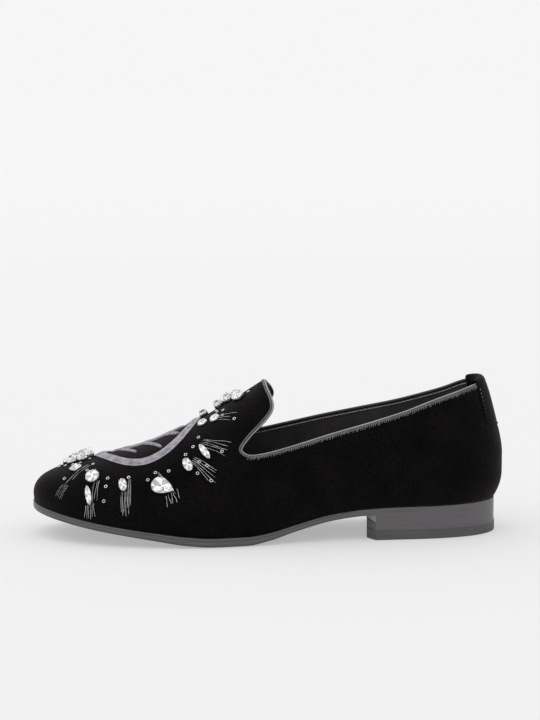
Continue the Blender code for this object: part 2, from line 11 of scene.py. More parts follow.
import bmesh
import bpy
import numpy as np
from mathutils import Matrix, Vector


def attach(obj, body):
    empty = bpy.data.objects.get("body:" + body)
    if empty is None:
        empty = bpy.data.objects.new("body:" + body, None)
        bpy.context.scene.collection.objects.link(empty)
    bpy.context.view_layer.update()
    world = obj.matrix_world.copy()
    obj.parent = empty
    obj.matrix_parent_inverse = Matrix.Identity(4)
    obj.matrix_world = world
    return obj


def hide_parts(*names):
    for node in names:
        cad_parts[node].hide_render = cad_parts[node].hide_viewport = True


MM = 0.001
OUTER, INNER = -1, 1  # the two sides of the foot
HALF_TURN = math.pi
FULL_TURN = 2 * math.pi
UPRIGHT = math.pi / 2

# The last, as in the solids: one row for each twelfth of a half turn from heel to toe.
LENGTH = 255.0
WALL = 2.0
SEAM_GAP = 0.3  # between pieces that lie on each other
BOX_CENTRE = np.array((0.7, -0.7, 0.0))
HALF_WIDTH, MIDDLE, DEPTH, RIDGE_SHIFT, CROWN = range(5)
SECTIONS = np.array((
    (0.0, 0.0, 100.0, 0.0, 2.2),
    (12.8, 0.0, 100.0, 0.0, 2.2),
    (22.6, 0.0, 98.5, 0.0, 2.2),
    (27.8, 0.0, 95.0, 0.0, 2.2),
    (29.2, -0.3, 90.0, 1.0, 2.2),
    (30.4, -1.2, 84.0, 3.0, 2.1),
    (35.0, -2.4, 76.5, 4.4, 1.95),
    (40.4, -1.8, 57.6, 4.4, 1.85),
    (40.2, 0.0, 39.6, 3.4, 1.95),
    (35.2, 1.6, 29.6, 2.0, 2.1),
    (26.4, 3.0, 20.9, 1.0, 2.2),
    (14.6, 4.0, 11.5, 0.3, 2.1),
    (0.0, 4.3, 0.0, 0.0, 2.0),
))
SHOULDER = 2.2
# Station, height of the sole's top, thickness.
SOLE_LINE = np.array((
    (0.0, 18.2, 4.4),
    (10.0, 18.1, 4.3),
    (28.0, 17.7, 3.9),
    (62.0, 17.3, 3.5),
    (76.0, 16.7, 3.5),
    (95.0, 14.4, 3.6),
    (115.0, 9.8, 3.8),
    (128.0, 6.5, 4.4),
    (140.0, 4.9, 4.9),
    (158.0, 4.9, 4.9),
    (173.0, 5.9, 4.8),
    (188.0, 7.8, 4.4),
    (206.0, 10.0, 4.0),
    (224.0, 12.6, 4.0),
    (240.0, 15.4, 4.1),
    (255.0, 18.4, 4.5),
))
# Station, depth of the tuck above the sole, sole edge beyond the tucked wall.
FEATHER = np.array((
    (0.0, 4.3, 0.2),
    (40.0, 3.4, 0.6),
    (90.0, 3.0, 0.6),
    (150.0, 2.4, 1.4),
    (220.0, 2.0, 1.2),
    (255.0, 2.0, 0.7),
))
TUCK_HEIGHT = 14.0
# Height above the sole, how far the back seam leans forward.
BACK_SEAM = np.array((
    (0.0, 0.0),
    (24.0, 0.0),
    (34.0, 1.4),
    (45.0, 4.8),
    (57.7, 8.7),
    (66.0, 11.8),
    (80.0, 17.4),
))
BACK_SEAM_REACH = 70.0
# Top edge from the back seam to the middle of the tongue: station and height outside, then inside.
COLLAR = np.array((
    (0.0, 81.2, 0.0, 81.2),
    (12.0, 79.6, 12.0, 78.2),
    (26.0, 76.4, 26.0, 73.4),
    (40.0, 72.6, 40.0, 69.6),
    (56.0, 67.2, 56.0, 65.8),
    (75.0, 61.6, 75.0, 62.2),
    (95.0, 56.2, 95.0, 58.4),
    (115.0, 50.6, 115.0, 54.0),
    (131.0, 46.8, 131.0, 50.6),
    (140.0, 46.4, 139.4, 50.0),
    (144.2, 50.4, 143.2, 52.8),
    (139.6, 57.0, 138.0, 58.8),
    (133.8, 62.6, 131.6, 64.2),
    (128.6, 68.4, 126.2, 69.8),
    (127.2, 72.0, 124.8, 73.0),
    (128.0, 75.8, 126.2, 76.6),
    (129.6, 79.4, 128.8, 80.0),
    (130.6, 82.4, 130.6, 82.4),
))
NOTCH_ROW = 9  # the corner between the quarter's edge and the tongue
TONGUE_ROW = len(COLLAR) - 1
VAMP_START = 150.0  # station at the sole below that corner

# Fineness of the velvet grid and of measuring along it
QUARTER_COLUMNS = 80
VAMP_COLUMNS = 96
WALL_ROWS = 60
ROW_CROWDING = 1.25  # power that draws the rows together near the sole
FINE_STEPS = 400
WALL_STEPS = 160
TURN_STEP = 1e-4
RISE_STEP = 1e-3
NEARLY_NOTHING = 1e-12
WELD = 4e-6  # metres within which points are merged

# Layers of the wall, by depth under its outside
VELVET_DEPTH = 1.15
LINING_TOP_DEPTH = 1.2

# Soft creases: station and girth of both ends, half width, depth. A negative depth is a ridge.
CREASES = (
    (176.0, -44.0, 168.0, -12.0, 5.0, 0.35),
    (185.0, -46.0, 181.0, -20.0, 4.0, -0.25),
    (176.0, 44.0, 168.0, 16.0, 5.0, 0.35),
    (150.0, -58.0, 142.0, -47.0, 5.5, 0.45),
    (150.0, 56.0, 142.0, 46.0, 5.5, 0.45),
    (118.0, -84.0, 126.0, -62.0, 9.0, 0.5),
    (118.0, 84.0, 126.0, 62.0, 9.0, 0.6),
    (40.0, -106.0, 46.0, -72.0, 12.0, 0.4),
)
CREASE_POINTS = 16

# Bound edge: a ribbon rolled over the top of the wall, a dim cord along its foot, a facing inside it
PIPING_RADIUS = 0.85
PIPING_SIDES = 14
PIPING_PITCH = 0.8
PIPING_RIB = 0.03
PIPING_STEP = 0.2
# Painted highlight: faces of the ribbon between these turns take its pale colour.
PIPING_PAINTED_HIGHLIGHT = (0.25, 1.3)  # pale between these, in radians from the top of the ribbon to its outside
FOOT_CORD_RADIUS = 0.42
FOOT_CORD_PITCH = 1.1
FOOT_CORD_ABOVE = 0.35  # above the edge of the velvet
FOOT_CORD_PROUD = -0.05  # beyond the outside of the velvet
CORD_SIDES = 8
CORD_TWIST = 0.2
WHIP_PITCH = 1.2
WHIP_ABOVE = 0.5
WHIP_BELOW = 1.0
WHIP_PROUD = 0.3
WHIP_SLANT = 1.0
WHIP_RADIUS = 0.24
WHIP_UNEVEN = 0.4
WHIP_SEED = 3
FACING_DEPTH = 0.5
FACING_PROUD = 0.35
FACING_SIDES = 12
FACING_SQUARENESS = (0.4, 0.5)  # powers of its oval, down the wall and off it
FACING_STEP = 0.6
FACING_STITCH_DEPTH = 0.45
FACING_STITCH_PITCH = 1.5
FACING_STITCH_LENGTH = 1.4
FACING_STITCH_RADIUS = 0.2
STITCH_POINTS = 7
STITCH_SIDES = 6
STITCH_POWER = 4

# Tab folded over the back of the collar
TAB_HALF_WIDTH = 16.0
TAB_DEPTH = 25.0
TAB_SIDE_DEPTH = 18.0
TAB_INNER_DEPTH = 9.0
TAB_THICKNESS = 0.7
TAB_FOLD_HEIGHT = 2.4
TAB_STAND_OFF = 0.7
TAB_HEM_STAND_OFF = 0.0
TAB_ROUNDNESS = 2.5
TAB_COLUMNS = 72
TAB_OUTER_ROWS = 40
TAB_FOLD_ROWS = 16
TAB_INNER_ROWS = 12
TAB_EDGE_SHARE = 0.06
TAB_HEM_SHARE = 0.22
TAB_STITCH_INSET = 1.0
TAB_STITCH_PITCH = 2.1
TAB_STITCH_LENGTH = 1.0
TAB_STITCH_RADIUS = 0.2
TAB_THREAD_FADE = (0.062, 0.079, 0.0, 1.0)  # from dark to pale: heights in metres, then shares

# Sole, heel and sock
SOLE_COLUMNS = 220
SOLE_SHARES = 15
# Sole edge from its top to its bottom: how far in from the edge, share of the thickness, how far in over the
# heel.
SOLE_EDGE = np.array((
    (2.0, 0.0, 2.0),
    (0.5, 0.0, 0.5),
    (0.12, 0.02, 0.06),
    (0.0, 0.08, 0.0),
    (0.02, 0.15, 0.0),
    (0.22, 0.19, 0.0),
    (0.24, 0.23, 0.0),
    (0.1, 0.27, 0.0),
    (0.02, 0.4, 0.0),
    (0.0, 0.58, 0.0),
    (0.08, 0.74, 0.0),
    (0.3, 0.86, 0.0),
    (0.75, 0.93, 0.0),
    (2.4, 0.97, 0.0),
    (5.5, 1.0, 5.5),
))
SEAT_FADE = 18.0  # length over which the welted edge of the waist becomes the flush edge over the heel
# The sole edge's colour, by height, holds painted highlight and shade; over the heel it takes one colour.
SEAT_TONE = 0.5  # where the edge over the heel takes its colour from
INSOLE_THICKNESS = 2.0
INSOLE_CLEARANCE = 0.2
SOCK_CROWN = 0.5
SOCK_CROWN_POWER = 4
OUTER_HEEL_LENGTH = 71.5
INNER_HEEL_LENGTH = 69.6
TOP_LIFT_HEIGHT = 5.5
TOP_LIFT_OVERHANG = 0.4
HEEL_COLUMNS = 60
HEEL_ROWS = 40
# Breast: share of the half width, how far it stands ahead of its inner corner.
BREAST = np.array(((0.76, 0.6), (0.4, 2.2), (0.0, 3.6), (-0.4, 4.9), (-0.76, 6.1)))
BREAST_POINTS = 25
LIFT_PITCH = 2.9
LIFT_GROOVE = 0.01
LIFT_GROOVE_HALF_WIDTH = 0.14
HEEL_WAX = 0.15  # how far the waxed edge of the heel runs up over its seam with the sole
HEEL_FLARE = 0.35  # height over which the foot of the heel widens to the top lift
# Top lift from the floor up: height, how far in from its edge.
TOP_LIFT_EDGE = np.array((
    (0.0, 0.5),
    (0.15, 0.18),
    (0.5, 0.04),
    (1.2, 0.0),
    (4.6, 0.0),
    (5.4, 0.0),
    (5.5, 0.08),
))
# End of the sole turned down over the front of the heel, and a dark sheet below it as a painted shadow line
FLAP_CORNER_DEPTH = 3.8
FLAP_FRONT_DEPTH = 1.4
FLAP_THICKNESS = 0.22
FLAP_SHADOW_DROP = 0.8
FLAP_SHADOW_THICKNESS = 0.1
FLAP_CORNER_POINTS = 8
SHARP_EDGE = 35.0  # degrees

# Leaf embroidery
DECOR_AXIS = 3.5  # girth of the line that leaf and stones are laid out from
INNER_REACH = 0.82  # girths on the inner side against those on the outer
LEAF_MIDDLE = 191.5
LEAF_HALF_LENGTH = 26.0
LEAF_HALF_WIDTH = 27.0
LEAF_POINTEDNESS = 1.5
BAND_HALF_WIDTH = 2.2
BAND_EDGE_HEIGHT = 0.45
BAND_CROWN_HEIGHT = 1.25
BAND_ROWS = 15
BAND_STEP = 0.11
BAND_END_POWER = 12  # how suddenly an open band thins at its ends
BAND_ROOT = 0.2  # how far its foot sinks into the velvet
THREAD_PITCH = 0.5
THREAD_RIDGE = 0.1
THREAD_BULGE = 0.02  # share of the half width by which a thread stands out at the sides
THREAD_SLANT = 1.6  # threads a band's half width leans over
RIB_HALF_LENGTH = 20.0
RIB_HALF_WIDTH = 1.7
RIB_SWELL = 1.15
RIB_TAPER = 0.6
# Side veins: station where each leaves the rib, how far it runs back, how far it runs out.
VEINS = ((206.0, 8.0, 14.0), (194.0, 9.5, 19.0), (182.0, 7.0, 11.5))
VEIN_HALF_WIDTH = 1.4
VEIN_TAPER = 0.4
VEIN_START = 0.3  # from the middle of the rib
EDGE_CORD_RADIUS = 0.36
EDGE_CORD_GAP = 0.2  # from the edge of the band to the middle of its cord
EDGE_CORD_OFFSET = BAND_HALF_WIDTH + EDGE_CORD_GAP
EDGE_CORD_PITCH = 1.3
EDGE_CORD_STEP = 0.2

# Glass stones: name, cut, station, girth from the axis, length, width, height, slant of the length from the
# girth. Those on the ridge have no solid.
PAIRED_STONES = (
    ("toe_cushion", "cushion", 230.0, 17.0, 6.4, 5.4, 2.4, 50.0),
    ("toe_round", "round", 221.0, 28.6, 8.6, 7.4, 2.8, 0.0),
    ("toe_navette", "navette", 223.0, 39.5, 11.0, 3.3, 1.8, 5.0),
    ("ball_oval", "oval", 205.0, 39.5, 7.6, 4.2, 2.2, 0.0),
    ("ball_pear", "pear", 184.0, 47.5, 12.6, 8.8, 3.2, -48.0),
    ("waist_oval", "oval", 171.0, 40.5, 8.2, 4.7, 2.2, -3.0),
    ("waist_navette", "navette", 162.0, 37.0, 10.8, 3.5, 1.8, -11.0),
    ("instep_oval_a", "oval", 162.3, 15.2, 5.4, 4.6, 2.4, 90.0),
    ("instep_oval_b", "oval", 155.8, 17.3, 5.5, 4.7, 2.4, 90.0),
    ("instep_crown", "oval", 142.8, 8.8, 8.2, 7.0, 4.0, 0.0),
)
AXIS_STONES = (
    ("toe_oval", "oval", 223.6, 0.0, 8.0, 6.4, 5.0, 0.0),
    ("instep_cushion", "cushion", 161.0, 0.0, 5.2, 4.6, 3.4, 90.0),
)
RIDGE_STONES = (
    ("small_oval_a", "oval", 229.9, 1.0, 6.2, 5.4, 4.0, 90.0),
    ("small_oval_b", "oval", 235.3, 0.6, 4.6, 4.6, 2.6, 90.0),
    ("small_oval_c", "oval", 226.8, -5.0, 5.6, 4.4, 3.2, 90.0),
    ("small_oval_d", "oval", 232.5, -4.8, 5.2, 4.2, 2.6, 90.0),
    ("small_oval_h", "oval", 226.8, 5.4, 5.4, 4.4, 4.4, 90.0),
    ("small_oval_i", "oval", 232.4, 5.2, 5.0, 4.2, 3.2, 90.0),
    ("small_round_e", "round", 152.8, -1.6, 5.4, 5.4, 4.2, 0.0),
    ("small_round_f", "round", 147.4, -2.8, 6.0, 6.0, 4.6, 0.0),
    ("small_round_g", "round", 148.6, 5.0, 5.4, 5.4, 4.6, 0.0),
)
STONE_AHEAD = 0.5  # step along the vamp that gives a stone its forward way
NAVETTE_POINTEDNESS = 1.4
PEAR_WIDEST = 0.77  # its widest before it is scaled to one
CUSHION_SQUARENESS = 0.5
CUSHION_SIZE = 0.9
GIRDLE_POINTS = 16
# Rings of a stone: size against the girdle, height against the whole.
CULET, BACK, GIRDLE_LOW = (0.12, 0.0), (0.58, 0.17), (1.0, 0.36)
GIRDLE_HIGH, BREAK, TABLE = (1.0, 0.44), (0.82, 0.76), (0.58, 1.0)
# The dim and dark foils are painted shade on the back facets, and the bright foil has a painted glow.
CLEAR, BRIGHT_PAINTED_GLOW, DIM_PAINTED_SHADE, DARK_PAINTED_SHADE = range(4)  # finishes of a stone: its front and three foils on its back
# Cup under a stone, outside then inside: size against the girdle, height against the stone.
CUP = np.array((
    (0.86, -0.2),
    (0.96, -0.02),
    (1.02, 0.1),
    (1.04, 0.26),
    (1.01, 0.31),
    (0.96, 0.26),
    (0.8, -0.05),
))
CUP_POINTS = 40
CLAWS = 4
CLAW_SIDES = 8
CLAW_RADIUS = 0.2
# Claw from the cup over the girdle: size against the girdle, height against the stone, thickness of the claw.
CLAW_PATH = np.array((
    (1.04, 0.0, 1.0),
    (1.07, 0.3, 1.0),
    (1.05, 0.5, 1.0),
    (0.96, 0.68, 0.9),
    (0.88, 0.74, 0.6),
))

# Seed beads: station, girth from the axis. Both sides of the vamp have them.
BEADS = np.array((
    (236.0, 22.5), (223.0, 5.5), (221.0, 16.5), (224.0, 21.5), (213.0, 32.5), (214.0, 37.5), (215.0, 45.5),
    (202.0, 35.5), (188.0, 37.5), (192.0, 40.5), (181.0, 39.5), (172.0, 33.5), (165.0, 41.5), (161.0, 45.5),
    (166.0, 47.5), (159.0, 54.5), (165.0, 25.5), (168.0, 30.5), (153.0, 41.5), (152.0, 17.5), (146.0, 25.5),
    (137.8, 8.0), (154.5, 10.0), (155.0, 6.5), (151.5, 12.5), (228.0, 9.5), (232.0, 8.5), (236.0, 6.5),
    (239.5, 3.5),
))
BEAD_RADIUS = 0.72
BEAD_TUBE = 0.24
BEAD_POINTS = 14
BEAD_SIDES = 8
BEAD_WAY = np.array((1.0, 0.3, 0.0))  # direction that the first way across a bead is square to

# Thread sprays: station and girth of the root and of the fan, strands, spread of the root and of the fan,
# radius of a strand.
SPRAYS = (
    (222.6, 16.2, 236.0, 28.4, 2, 1.6, 2.2, 0.1),
    (235.0, 27.4, 240.0, 33.0, 5, 3.4, 6.0, 0.05),
    (218.4, 32.0, 220.8, 48.0, 3, 2.4, 2.8, 0.1),
    (222.4, 44.0, 223.2, 53.0, 6, 4.4, 5.8, 0.1),
    (204.0, 42.5, 204.4, 58.0, 5, 3.2, 3.8, 0.1),
    (201.6, 36.0, 202.0, 57.0, 3, 1.0, 2.4, 0.1),
    (180.0, 51.8, 178.2, 59.4, 5, 5.6, 6.0, 0.12),
    (187.0, 37.5, 177.0, 55.5, 2, 0.8, 0.9, 0.12),
    (169.0, 38.0, 154.5, 56.5, 5, 3.2, 7.0, 0.1),
    (164.0, 29.4, 148.5, 43.2, 5, 3.4, 7.0, 0.09),
    (157.5, 15.6, 145.0, 25.0, 3, 2.2, 5.0, 0.08),
)
STRAND_POINTS = 14
STRAND_SIDES = 6
STRAND_LIFT = 0.25
STRAND_ARCH = 0.6
STRAND_SHORTEST = 0.7
STRAND_WAVE = 0.3
STRAND_UNEVEN = 0.25
STRAND_LOWEST = 0.4
STRAND_END_POWER = 10  # how suddenly a strand thins at its ends
FAN_POWER = 1.3
SPRAY_SEED = 7

# Camera of the photograph, 540 by 720 pixels
IMAGE_HEIGHT = 720
SENSOR = 36.0
CAMERA_AZIMUTH = -3.5
CAMERA_ELEVATION = 10.5
CAMERA_DISTANCE = 1100.0
PIXELS_PER_MM = 1.852
TARGET = np.array((-0.7, 0.7, 44.0))
TARGET_LEFT_OF_CENTRE = 2.7  # pixels
TARGET_BELOW_CENTRE = 90.5  # pixels

# Studio
FLOOR_HALF = 20.0  # metres
FLOOR_COLOUR = (0.495, 0.495, 0.495, 1)
FLOOR_GLOW = (0.2, 3.0, 0.385, 0.415)  # from the shoe to far behind it: metres, then how bright
SURROUND = (-0.9, 0.0, 0.6, 0.92)  # from the camera's side to square across: where, then how bright
WHITE = (1, 1, 1, 1)
OVERHEAD_ENERGY = 0.6
OVERHEAD_WIDTH = 60.0  # degrees
OVERHEAD_TURNS = (6.0, -20.0, 0.0)  # degrees from pointing straight down

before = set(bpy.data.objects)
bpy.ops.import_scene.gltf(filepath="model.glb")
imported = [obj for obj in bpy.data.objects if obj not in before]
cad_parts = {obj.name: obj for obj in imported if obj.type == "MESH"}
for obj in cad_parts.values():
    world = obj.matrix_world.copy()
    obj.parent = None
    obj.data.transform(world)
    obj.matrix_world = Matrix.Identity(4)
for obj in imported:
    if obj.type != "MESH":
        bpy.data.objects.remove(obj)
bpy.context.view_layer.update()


# The shape of the last

def monotone(knots, values, at):
    """A cubic through a table, its slope at each row the harmonic mean of its neighbours, so that it never
    overshoots."""
    at = np.clip(at, knots[0], knots[-1])
    run = np.diff(knots)
    slope = np.diff(values) / run
    before, after = slope[:-1], slope[1:]
    bend = before * after
    tangent = np.zeros(len(values))
    tangent[0], tangent[-1] = slope[0], slope[-1]
    tangent[1:-1] = np.where(bend > 0, 2 * bend / np.where(bend > 0, before + after, 1), 0)
    i = np.clip(np.searchsorted(knots, at, side="right") - 1, 0, len(run) - 1)
    f = (at - knots[i]) / run[i]
    rise = values[i + 1] - values[i]
    start, end = tangent[i] * run[i], tangent[i + 1] * run[i]
    return values[i] + f * (start + f * (3 * rise - 2 * start - end + f * (start + end - 2 * rise)))


def flowing(rows, at):
    """A cubic through evenly numbered rows, with slopes from the rows on both sides, read at a fractional
    row."""
    rows = np.asarray(rows, float)
    first = 2 * rows[:1] - rows[1:2]
    last = 2 * rows[-1:] - rows[-2:-1]
    padded = np.concatenate([first, rows, last])
    at = np.clip(at, 0, len(rows) - 1)
    i = np.minimum(np.asarray(at).astype(int), len(rows) - 2)
    f = at - i
    if rows.ndim > 1:
        f = f[..., None]
    a, b, c, d = padded[i], padded[i + 1], padded[i + 2], padded[i + 3]
    return b + 0.5 * f * (c - a + f * (2 * a - 5 * b + 4 * c - d + f * (3 * (b - c) + d - a)))


def section(column, turn):
    """A column of the table of sections, read at a turn."""
    return flowing(SECTIONS[:, column], turn / HALF_TURN * (len(SECTIONS) - 1))


def turn_at(station):
    """The turn, from 0 at the heel to a half turn at the toe, whose cosine runs with the station."""
    return np.arccos(np.clip(1 - 2 * np.asarray(station, float) / LENGTH, -1, 1))


def station_at(turn):
    """The station of a turn, the inverse of turn_at."""
    return LENGTH * (1 - np.cos(turn)) / 2


def sole_top(station):
    """Height of the top of the sole."""
    return monotone(SOLE_LINE[:, 0], SOLE_LINE[:, 1], station)


def sole_thickness(station):
    """Thickness of the sole."""
    return monotone(SOLE_LINE[:, 0], SOLE_LINE[:, 2], station)


def sole_bottom(station):
    """Height of the bottom of the sole."""
    return sole_top(station) - sole_thickness(station)


def tuck_at(station):
    """How far the wall is drawn in where it meets the sole."""
    return monotone(FEATHER[:, 0], FEATHER[:, 1], station)


def sole_margin(station):
    """How far the edge of the sole stands out beyond the tucked wall."""
    return monotone(FEATHER[:, 0], FEATHER[:, 2], station)


def unit(vectors):
    """Vectors scaled to a length of one."""
    return vectors / np.maximum(np.linalg.norm(vectors, axis=-1, keepdims=True), NEARLY_NOTHING)


def broadcast(*values):
    """Numbers or arrays as arrays of one shape."""
    return np.broadcast_arrays(*(np.asarray(value, float) for value in values))


def round_turns(count):
    """Even angles round a full turn."""
    return np.arange(count) / count * FULL_TURN


def signed_power(wave, power):
    """A wave raised to a power with its sign kept: squarer for a power below one, more pointed above."""
    return np.sign(wave) * np.abs(wave) ** power


def raised(plan, height):
    """Points over a plan of stations and Ys, at a height above the floor."""
    return np.stack([LENGTH / 2 - plan[..., 0], plan[..., 1], height], -1)


def outline(turn, side, inset):
    """Plan of the last as station and Y: the middle line plus side times half width, drawn in along its
    normal."""
    low, high = np.clip(turn - TURN_STEP, 0, HALF_TURN), np.clip(turn + TURN_STEP, 0, HALF_TURN)

    def edge(t):
        return np.stack([station_at(t), section(MIDDLE, t) + side * section(HALF_WIDTH, t)], -1)

    along = edge(high) - edge(low)
    normal = unit(np.asarray(side)[..., None] * np.stack([-along[..., 1], along[..., 0]], -1))
    return edge(turn) - normal * np.asarray(inset)[..., None]


def last_surface(turn, rise, side):
    """Outside of the upper. Height climbs as a power of sin(rise), and width closes to the ridge as one of
    cos(rise)."""
    turn, rise, side = broadcast(turn, rise, side)
    station = station_at(turn)
    climb = section(DEPTH, turn) * np.clip(np.sin(rise), 0, 1) ** (2 / section(CROWN, turn))
    tuck = tuck_at(station) * np.clip(1 - climb / TUCK_HEIGHT, 0, 1) ** 2
    foot = outline(turn, side, tuck)
    ridge = section(MIDDLE, turn) + section(RIDGE_SHIFT, turn)
    closing = np.clip(np.cos(rise), 0, 1) ** (2 / SHOULDER)
    near_back = np.clip(1 - station / BACK_SEAM_REACH, 0, 1) ** 2
    station = foot[..., 0] + monotone(BACK_SEAM[:, 0], BACK_SEAM[:, 1], climb) * near_back
    across = ridge + (foot[..., 1] - ridge) * closing
    return np.stack([LENGTH / 2 - station, across, sole_top(station) + SEAM_GAP + climb], -1)


def surface_normal(turn, rise, side):
    """Outward normal of the last, from differences along turn and rise."""
    ahead = last_surface(np.minimum(turn + RISE_STEP, HALF_TURN), rise, side)
    behind = last_surface(np.maximum(turn - RISE_STEP, 0), rise, side)
    above = last_surface(turn, np.minimum(rise + RISE_STEP, UPRIGHT), side)
    below = last_surface(turn, rise - RISE_STEP, side)
    return unit(np.asarray(side)[..., None] * np.cross(ahead - behind, above - below))


def rise_at(turn, height):
    """The rise at which the upper reaches a height above the floor."""
    share = (height - SEAM_GAP - sole_top(station_at(turn))) / section(DEPTH, turn)
    return np.arcsin(np.clip(share, 0, 1) ** (section(CROWN, turn) / 2))


def run_along(points):
    """Distance along lines of points from the first to each, the points on the last axis but one."""
    steps = np.cumsum(np.linalg.norm(np.diff(points, axis=-2), axis=-1), axis=-1)
    return np.concatenate([np.zeros(steps.shape[:-1] + (1,)), steps], -1)


def rise_below(turn, top, distance, side):
    """The rise that lies a distance down the wall from another, read off the summed lengths of short
    steps."""
    turn, top, distance, side = broadcast(turn, top, distance, side)
    rises = top[..., None] * np.linspace(1, 0, WALL_STEPS)
    run = run_along(last_surface(turn[..., None], rises, side[..., None]))
    i = np.clip((run <= distance[..., None]).sum(-1) - 1, 0, WALL_STEPS - 2)[..., None]
    before, after = np.take_along_axis(run, i, -1), np.take_along_axis(run, i + 1, -1)
    share = np.clip((distance[..., None] - before) / np.maximum(after - before, NEARLY_NOTHING), 0, 1)
    low, high = np.take_along_axis(rises, i, -1), np.take_along_axis(rises, i + 1, -1)
    return (low + (high - low) * share)[..., 0]


def on_vamp(station, girth):
    """Points and outward normals on the vamp at these stations and girths."""
    station, girth = broadcast(station, girth)
    side = np.where(girth < 0, OUTER, INNER)
    turn = turn_at(station)
    rise = rise_below(turn, UPRIGHT, np.abs(girth), side)
    return last_surface(turn, rise, side), surface_normal(turn, rise, side)


def collar_edge(place, side):
    """Turn and rise of the top edge, at a fractional row of its table."""
    rows = flowing(COLLAR[:, :2] if side == OUTER else COLLAR[:, 2:], place)
    turn = turn_at(rows[..., 0])
    rise = rise_at(turn, rows[..., 1])
    return turn, np.where(np.asarray(place) >= TONGUE_ROW, UPRIGHT, rise)


def evenly_along(start, end, count, side):
    """Fractional rows of the collar table that lie equally far apart along the edge."""
    place = np.linspace(start, end, FINE_STEPS)
    run = run_along(last_surface(*collar_edge(place, side), side))
    return np.interp(np.linspace(0, run[-1], count + 1), run, place)


def upper_half(side):
    """Turn and rise of the wall on one side. The quarter blends straight from sole to collar. The vamp blends
    its four edges, sole, throat, tongue and ridge, in a plane where the toe is the centre and rise the
    angle."""
    rows = np.linspace(0, 1, WALL_ROWS + 1) ** ROW_CROWDING
    vamp_turn = turn_at(VAMP_START)
    stations = COLLAR[:NOTCH_ROW + 1, 0 if side == OUTER else 2]
    evenly_turned = np.linspace(0, turn_at(stations[-1]), QUARTER_COLUMNS + 1)
    quarter_tops = np.interp(evenly_turned, turn_at(stations), np.arange(NOTCH_ROW + 1.0))
    vamp_tops = evenly_along(NOTCH_ROW, TONGUE_ROW, VAMP_COLUMNS, side)

    foot = np.linspace(0, vamp_turn, QUARTER_COLUMNS + 1)
    top_turn, top_rise = collar_edge(quarter_tops, side)
    quarter = np.stack([foot[:, None] + (top_turn - foot)[:, None] * rows, top_rise[:, None] * rows], -1)

    def flat(turn, rise):
        return np.stack([(HALF_TURN - turn) * np.cos(rise), (HALF_TURN - turn) * np.sin(rise)], -1)

    share = np.linspace(0, 1, VAMP_COLUMNS + 1)
    sole = flat(np.linspace(vamp_turn, HALF_TURN, VAMP_COLUMNS + 1), 0.0)
    tongue = flat(*collar_edge(vamp_tops, side))
    throat = flat(quarter[-1, :, 0], quarter[-1, :, 1])
    tongue_turn = collar_edge(np.array(float(TONGUE_ROW)), side)[0]
    ridge = flat(HALF_TURN + (tongue_turn - HALF_TURN) * rows, UPRIGHT)
    a, b = share[:, None, None], rows[None, :, None]
    corners = (1 - a) * ((1 - b) * sole[0] + b * tongue[0]) + a * ((1 - b) * sole[-1] + b * tongue[-1])
    patch = (1 - b) * sole[:, None] + b * tongue[:, None] + (1 - a) * throat + a * ridge - corners
    reach = np.hypot(patch[..., 0], patch[..., 1])
    vamp = np.stack([HALF_TURN - reach, np.arctan2(patch[..., 1], patch[..., 0])], -1)
    vamp[-1, :, 1] = UPRIGHT
    return np.concatenate([quarter, vamp[1:]])


def upper_grid():
    """Points and outward normals of the whole wall, columns round the shoe from the back seam, rows from sole
    to edge."""
    halves = [last_surface(*np.moveaxis(upper_half(side), -1, 0), side) for side in (OUTER, INNER)]
    grid = np.concatenate([halves[0], halves[1][-2:0:-1]])
    along = np.roll(grid, -1, axis=0) - np.roll(grid, 1, axis=0)
    up = np.gradient(grid, axis=1)
    return grid, unit(np.cross(up, along))


def collar_line(step):
    """The top edge in even steps all round: points, outward normals, directions out of the edge and along it,
    and the fractional rows of its table."""
    points, normals, rows = [], [], []
    for side in (OUTER, INNER):
        length = run_along(last_surface(*collar_edge(np.linspace(0, TONGUE_ROW, FINE_STEPS), side), side))[-1]
        rows.append(evenly_along(0, TONGUE_ROW, int(length / step), side))
        turn, rise = collar_edge(rows[-1], side)
        points.append(last_surface(turn, rise, side))
        normals.append(surface_normal(turn, rise, side))
    point, normal, row = (np.concatenate([outer, inner[-2:0:-1]]) for outer, inner in (points, normals, rows))
    along = unit(np.roll(point, -1, axis=0) - np.roll(point, 1, axis=0))
    return point, normal, unit(np.cross(along, normal)), along, row


# Meshes from arrays

def grid_quads(columns, rows, loop_columns=False, loop_rows=False):
    """Quads of a grid of points numbered column by column."""
    c = np.arange(columns if loop_columns else columns - 1)[:, None]
    r = np.arange(rows if loop_rows else rows - 1)[None, :]
    c_next, r_next = (c + 1) % columns * rows, (r + 1) % rows
    corners = np.broadcast_arrays(c * rows + r, c_next + r, c_next + r_next, c * rows + r_next)
    return np.stack(corners, -1).reshape(-1, 4)


def lidded(columns, rows):
    """Quads of rings numbered one after another, with lids over the first and last."""
    last = (columns - 1) * rows
    lids = [list(range(rows))[::-1], list(range(last, last + rows))]
    return grid_quads(columns, rows, loop_rows=True).tolist() + lids


def repeated(quads, count, points):
    """The same quads for each of several shapes, with that many points in each."""
    return (quads + np.arange(count)[:, None, None] * points).reshape(-1, 4)


def joined(shapes):
    """Points and quads of several shapes as one."""
    start = np.cumsum([0] + [len(points) for points, _ in shapes])
    quads = [quads + offset for offset, (_, quads) in zip(start, shapes)]
    return np.concatenate([points for points, _ in shapes]), np.concatenate(quads)


def copies(shape, centre, *axes):
    """One small shape repeated at many places, its three directions laid along the axes of each place."""
    points, quads = shape
    placed = centre[:, None] + sum(points[:, k, None] * axis[:, None] for k, axis in enumerate(axes))
    return placed.reshape(-1, 3), repeated(quads, len(centre), len(points))


